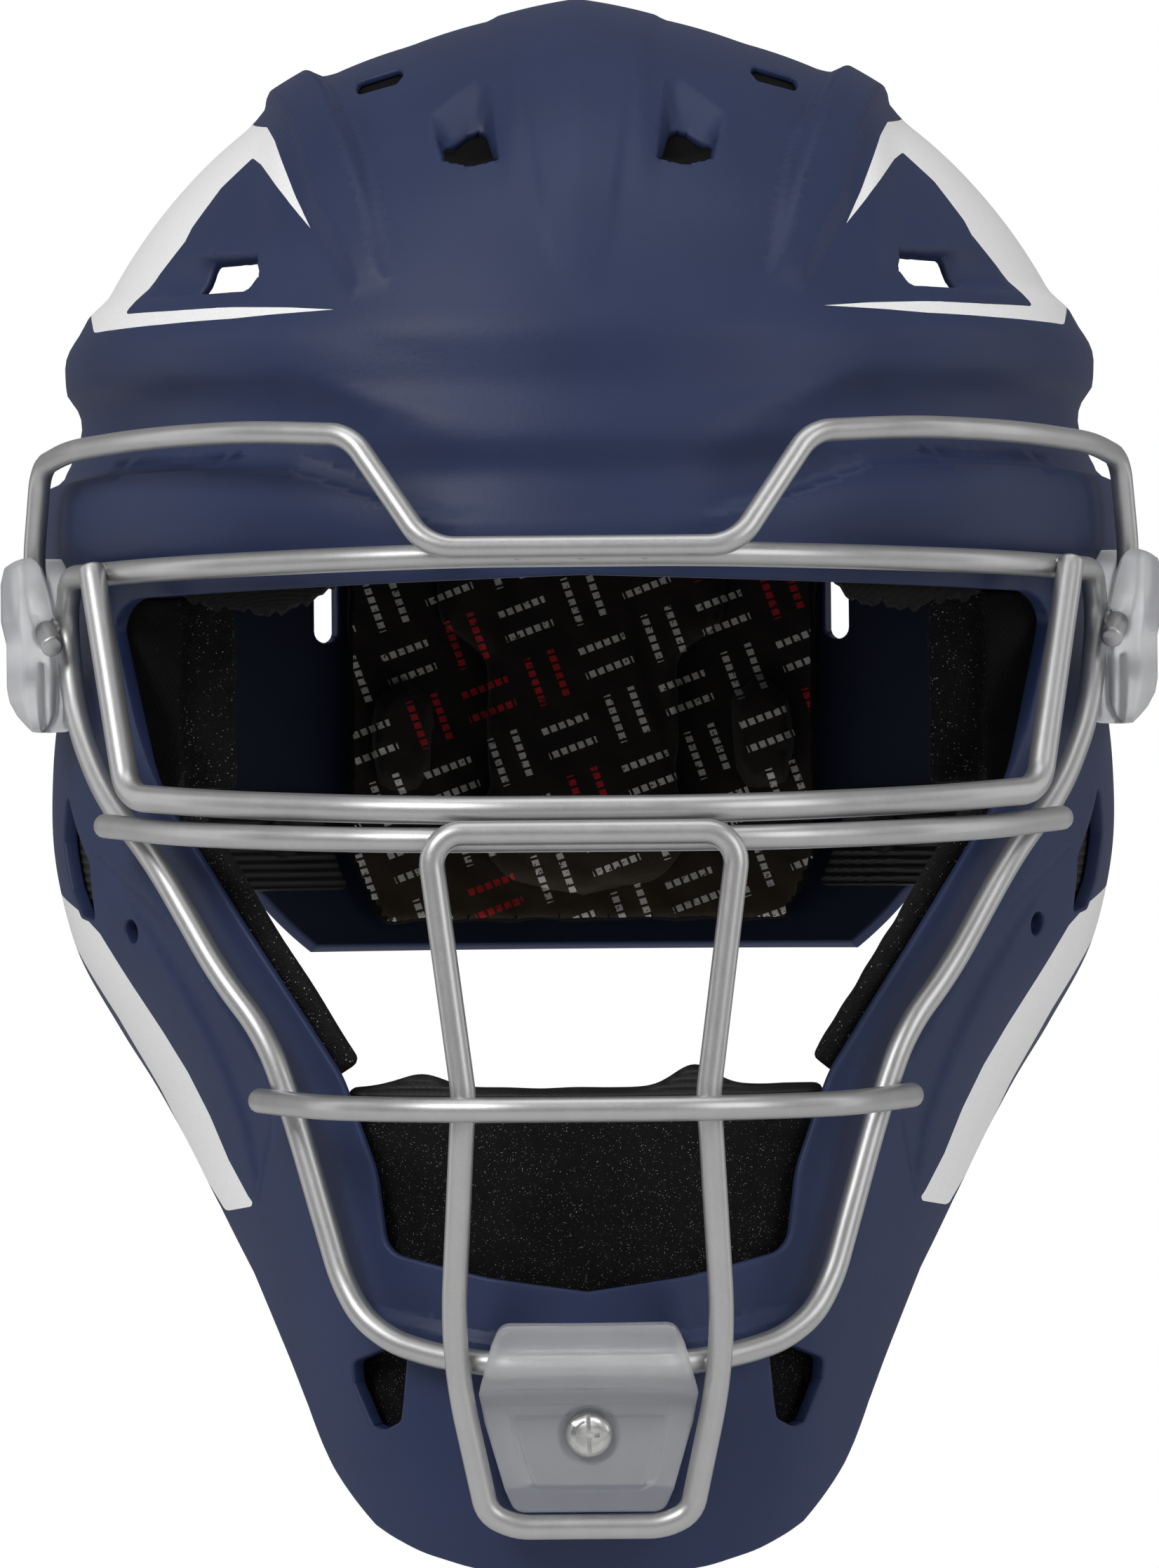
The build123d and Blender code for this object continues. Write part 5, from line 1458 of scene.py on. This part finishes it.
def screw_part(place, out, shank, turn):
    """A low round head with a slot crossed by a short recess, on a threaded shank."""
    bm = bmesh.new()
    turns = int(shank / THREAD_STEP)
    profile = [(r, HEAD_HIGH * share) for r, share in HEAD_PROFILE] + [(SHANK_RADIUS, 0.0)]
    profile += [(SHANK_RADIUS - THREAD_DEPTH * (k % 2), -THREAD_STEP * (k + 1)) for k in range(turns)]
    profile.append((0.0, -THREAD_STEP * (turns + 1)))
    sides, rings = 40, []
    for r, h in profile:
        rings.append([bm.verts.new((r * cos(2 * pi * k / sides), r * sin(2 * pi * k / sides), h))
                      for k in range(sides)])
    for low, up in zip(rings, rings[1:]):
        for k in range(sides):
            n = (k + 1) % sides
            bm.faces.new((low[k], up[k], up[n], low[n]))
    bmesh.ops.remove_doubles(bm, verts=bm.verts[:], dist=1e-4)
    bmesh.ops.recalc_face_normals(bm, faces=bm.faces[:])
    body = mesh_object("screw_blank", bm, [finish("screw")], smooth=False)
    for long, wide, deep, skew in RECESSES:
        bm = bmesh.new()
        for v in bmesh.ops.create_cube(bm, size=1.0)["verts"]:
            v.co = Vector((v.co.x * long, v.co.y * wide, HEAD_HIGH - deep / 2 + 1.0 + v.co.z * (deep + 2.0)))
            v.co = Matrix.Rotation(skew, 3, "Z") @ v.co
        cutter = mesh_object("screw_cutter", bm, [], smooth=False)
        cut = body.modifiers.new("recess", "BOOLEAN")
        cut.operation, cut.object, cut.solver = "DIFFERENCE", cutter, "EXACT"
        settle(body)
        bpy.data.objects.remove(cutter)
    turn_to = out.to_track_quat("Z", "Y").to_matrix() @ Matrix.Rotation(turn, 3, "Z")
    body.data.transform(Matrix.Translation(Vector(place) * MM) @ turn_to.to_4x4())
    body.data.shade_smooth()
    body.data.set_sharp_from_angle(angle=SHARP_EDGE)
    return body


def build_fasteners():
    """Screws with their recesses, and the finish of the nuts and anchors."""
    for node, group in screws().items():
        made = [
            screw_part(place, out, shank, FIRST_TURN + NEXT_TURN * number)
            for number, (place, out, shank) in enumerate(group)
        ]
        piece = joined(node + "_turned", made)
        piece.data.set_sharp_from_angle(angle=SHARP_EDGE)
        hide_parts(node)
        dress(piece, "root")
    for node, tone in (("crown_nuts", "nut"), ("side_clip_nuts", "nut"), ("chin_clip_nut", "nut"),
                       ("strap_anchors", "anchor")):
        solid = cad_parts[node]
        coated(solid.data, [finish(tone)])
        edge = solid.modifiers.new("edge", "BEVEL")
        edge.width, edge.segments, edge.limit_method = 0.3 * MM, 2, "ANGLE"


# The elastic straps, in the side view
STRAP_EDGE = [(-57.0, -66.5), (92.0, -66.5), (92.0, -87.5), (-57.0, -87.5)]
STRAP_CORNER, STRAP_WALL, STRAP_RIM = 1.5, 1.6, 0.5
STRAP_EYE, STRAP_EYE_SIZE = (86.0, -77.0), 3.2


def build_straps():
    """The two elastic straps from the jaw to the rear plate."""
    for side, node in ((1, "elastic_strap_right"), (-1, "elastic_strap_left")):
        sheet = Sheet(inset=3.5, cell=1.5, low=-100.0, first=pi / 5, last=pi - 0.4)
        sheet.keep(arcs(vectors(STRAP_EDGE), [STRAP_CORNER] * len(STRAP_EDGE)), "side")
        sheet.cut(ring(STRAP_EYE, STRAP_EYE_SIZE), "side", anywhere)
        strap = sheet.finish(node + "_woven", STRAP_WALL, STRAP_RIM, [finish("elastic")], side=side)
        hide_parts(node)
        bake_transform(strap)


def area_light(name, place, size, power):
    """A soft rectangular lamp that looks at the middle of the helmet."""
    data = bpy.data.lights.new(name, "AREA")
    data.shape, data.size, data.size_y, data.energy = "RECTANGLE", size[0], size[1], power
    lamp = linked(name, data)
    lamp.location = place
    lamp.rotation_euler = (AIM - Vector(place)).to_track_quat("-Z", "Y").to_euler()


# Studio: places in metres, a lamp's width and height, and watts
AIM, CAMERA_ACROSS, CAMERA_UP, FLOOR_UP, FLOOR_HALF = Vector((0, 0, -0.06)), -0.00075, -0.064, -0.42, 1.5
LAMPS = {
    "key": ((-1.1, -1.5, 1.2), (0.9, 0.9), 25.0),
    "fill": ((1.3, -1.4, 0.6), (0.8, 1.4), 10.5),
    "top": ((0.0, -0.3, 1.6), (1.6, 0.8), 8.0),
    "low": ((0.0, -1.5, -0.9), (1.4, 0.5), 2.2),
    "left_edge": ((-1.3, 0.2, 0.1), (0.4, 1.6), 2.8),
    "right_edge": ((1.3, 0.2, 0.1), (0.4, 1.6), 2.8),
}


def build_stage():
    """The camera, the studio lamps, the white surround and the pale floor."""
    scene = bpy.context.scene
    studio = scene.helmet_studio
    lens = bpy.data.cameras.new("photo_view")
    lens.lens, lens.sensor_width, lens.clip_end = studio.lens, 36.0, 50.0
    camera = linked("photo_view", lens)
    camera.location = (CAMERA_ACROSS, -studio.distance, CAMERA_UP)
    camera.rotation_euler = (pi / 2, studio.roll, 0)
    scene.camera = camera
    for name, (place, size, power) in LAMPS.items():
        area_light(name, place, size, power * studio.level)
    bm = bmesh.new()
    bmesh.ops.create_grid(bm, x_segments=1, y_segments=1, size=FLOOR_HALF / MM)
    for v in bm.verts:
        v.co.z = FLOOR_UP / MM
    mesh_object("floor", bm, [finish("floor")])
    world = bpy.data.worlds.new("white_surround")
    world.use_nodes = True
    scene.world = world
    sky = Graph(world.node_tree)
    camera_ray, clear_ray = sky.node("ShaderNodeLightPath", out=("Is Camera Ray", "Is Transmission Ray"))
    white = (1.0, 1.0, 1.0)
    shown = sky.node("ShaderNodeBackground", Color=white, Strength=1.0)
    lit = sky.node("ShaderNodeBackground", Color=white, Strength=studio.surround)
    blend = sky.node("ShaderNodeMixShader", values=(camera_ray.either(clear_ray), lit, shown))
    sky.join(blend, sky.tree.nodes["World Output"].inputs["Surface"])
    scene.view_settings.view_transform = "Standard"


# The add-on: its settings, one operator for each group of pieces, and a panel
def colour(name, description, default):
    """A colour that can be changed."""
    return FloatVectorProperty(
        name=name, description=description, default=default, size=3, min=0.0, max=1.0, subtype="COLOR"
    )


class HelmetColours(bpy.types.PropertyGroup):
    """The colours of the helmet's paint, print and wire."""

    paint: colour("Paint", "Satin paint of both shells", (0.0172, 0.0278, 0.0790))
    stripe: colour("Stripes", "Printed stripes on crown and cheeks", (0.86, 0.86, 0.86))
    wire: colour("Wire", "Powder paint of the cage", (0.535, 0.535, 0.535))
    print_light: colour("Pale print", "Pale dashes on the rear padding", (0.50, 0.49, 0.47))
    print_red: colour("Red print", "Red dashes on the rear padding", (0.42, 0.012, 0.018))


class HelmetStudio(bpy.types.PropertyGroup):
    """The camera and the light of the studio."""

    distance: FloatProperty(
        name="Camera distance", description="From the camera to the helmet's middle", default=1.8, min=0.5,
        unit="LENGTH",
    )
    lens: FloatProperty(
        name="Lens", description="Focal length in millimetres", default=194.0, min=20.0, unit="CAMERA",
    )
    roll: FloatProperty(
        name="Camera roll", description="Lean of the view", default=radians(0.5), subtype="ANGLE",
    )
    level: FloatProperty(
        name="Light level", description="Share of the lamps' power", default=1.0, min=0.0, subtype="FACTOR",
    )
    surround: FloatProperty(
        name="Surround", description="Strength of the light from all around", default=0.24, min=0.0,
    )


class HELMET_OT_front_shell(bpy.types.Operator):
    """Build the painted front shell with its vents, brim and stripes"""

    bl_idname = "helmet.front_shell"
    bl_label = "Front Shell"

    def execute(self, context):
        shell = build_front_shell([finish("shell"), finish("decal"), finish("inner")])
        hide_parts("front_shell")
        dress(shell, "root")
        return {"FINISHED"}


class HELMET_OT_rear_shell(bpy.types.Operator):
    """Build the painted rear plate and its tongue"""

    bl_idname = "helmet.rear_shell"
    bl_label = "Rear Shell"

    def execute(self, context):
        shell = build_rear_shell([finish("shell"), finish("inner")])
        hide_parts("rear_shell")
        dress(shell, "rear_plate")
        return {"FINISHED"}


class HELMET_OT_cage(bpy.types.Operator):
    """Build the six wires of the cage with their welds"""

    bl_idname = "helmet.cage"
    bl_label = "Cage"

    def execute(self, context):
        for piece in build_cage([finish("wire")]):
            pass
        return {"FINISHED"}


class HELMET_OT_clips(bpy.types.Operator):
    """Build the side clips and the chin clip"""

    bl_idname = "helmet.clips"
    bl_label = "Clips"

    def execute(self, context):
        build_clips()
        return {"FINISHED"}


class HELMET_OT_fasteners(bpy.types.Operator):
    """Build the screws, and finish the nuts and strap anchors"""

    bl_idname = "helmet.fasteners"
    bl_label = "Fasteners"

    def execute(self, context):
        build_fasteners()
        return {"FINISHED"}


class HELMET_OT_front_pads(bpy.types.Operator):
    """Build the padding of crown, brow, temples, jaw and chin"""

    bl_idname = "helmet.front_pads"
    bl_label = "Front Padding"

    def execute(self, context):
        build_pads("front_pads", "root")
        return {"FINISHED"}


class HELMET_OT_rear_pads(bpy.types.Operator):
    """Build the printed padding of the rear plate"""

    bl_idname = "helmet.rear_pads"
    bl_label = "Rear Padding"

    def execute(self, context):
        build_pads("rear_pads", "rear_plate")
        return {"FINISHED"}


class HELMET_OT_straps(bpy.types.Operator):
    """Build the elastic straps between the jaw and the rear plate"""

    bl_idname = "helmet.straps"
    bl_label = "Straps"

    def execute(self, context):
        build_straps()
        return {"FINISHED"}


class HELMET_OT_stage(bpy.types.Operator):
    """Set up the camera, the lamps, the surround and the floor"""

    bl_idname = "helmet.stage"
    bl_label = "Stage"

    def execute(self, context):
        build_stage()
        return {"FINISHED"}


OPERATORS = (
    HELMET_OT_front_shell, HELMET_OT_rear_shell, HELMET_OT_cage, HELMET_OT_clips, HELMET_OT_fasteners,
    HELMET_OT_front_pads, HELMET_OT_rear_pads, HELMET_OT_straps, HELMET_OT_stage,
)


class HELMET_PT_sidebar(bpy.types.Panel):
    """Settings and building steps of the helmet"""

    bl_idname = "HELMET_PT_sidebar"
    bl_label = "Catcher Helmet"
    bl_space_type = "VIEW_3D"
    bl_region_type = "UI"
    bl_category = "Helmet"

    def draw(self, context):
        for group in (context.scene.helmet_colours, context.scene.helmet_studio):
            column = self.layout.column()
            for name in group.__annotations__:
                column.prop(group, name)
        column = self.layout.column()
        for operator in OPERATORS:
            column.operator(operator.bl_idname)


CLASSES = (HelmetColours, HelmetStudio, *OPERATORS, HELMET_PT_sidebar)


def register():
    """Add the classes and the scene's settings."""
    for made in CLASSES:
        bpy.utils.register_class(made)
    bpy.types.Scene.helmet_colours = PointerProperty(type=HelmetColours)
    bpy.types.Scene.helmet_studio = PointerProperty(type=HelmetStudio)


def unregister():
    """Take the classes and the scene's settings away."""
    del bpy.types.Scene.helmet_studio
    del bpy.types.Scene.helmet_colours
    for made in reversed(CLASSES):
        bpy.utils.unregister_class(made)


def main():
    """Register the classes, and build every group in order."""
    register()
    steps = bpy.ops.helmet
    for step in (steps.front_shell, steps.rear_shell, steps.cage, steps.clips, steps.fasteners,
                 steps.front_pads, steps.rear_pads, steps.straps, steps.stage):
        step()


if __name__ == "__main__":
    main()
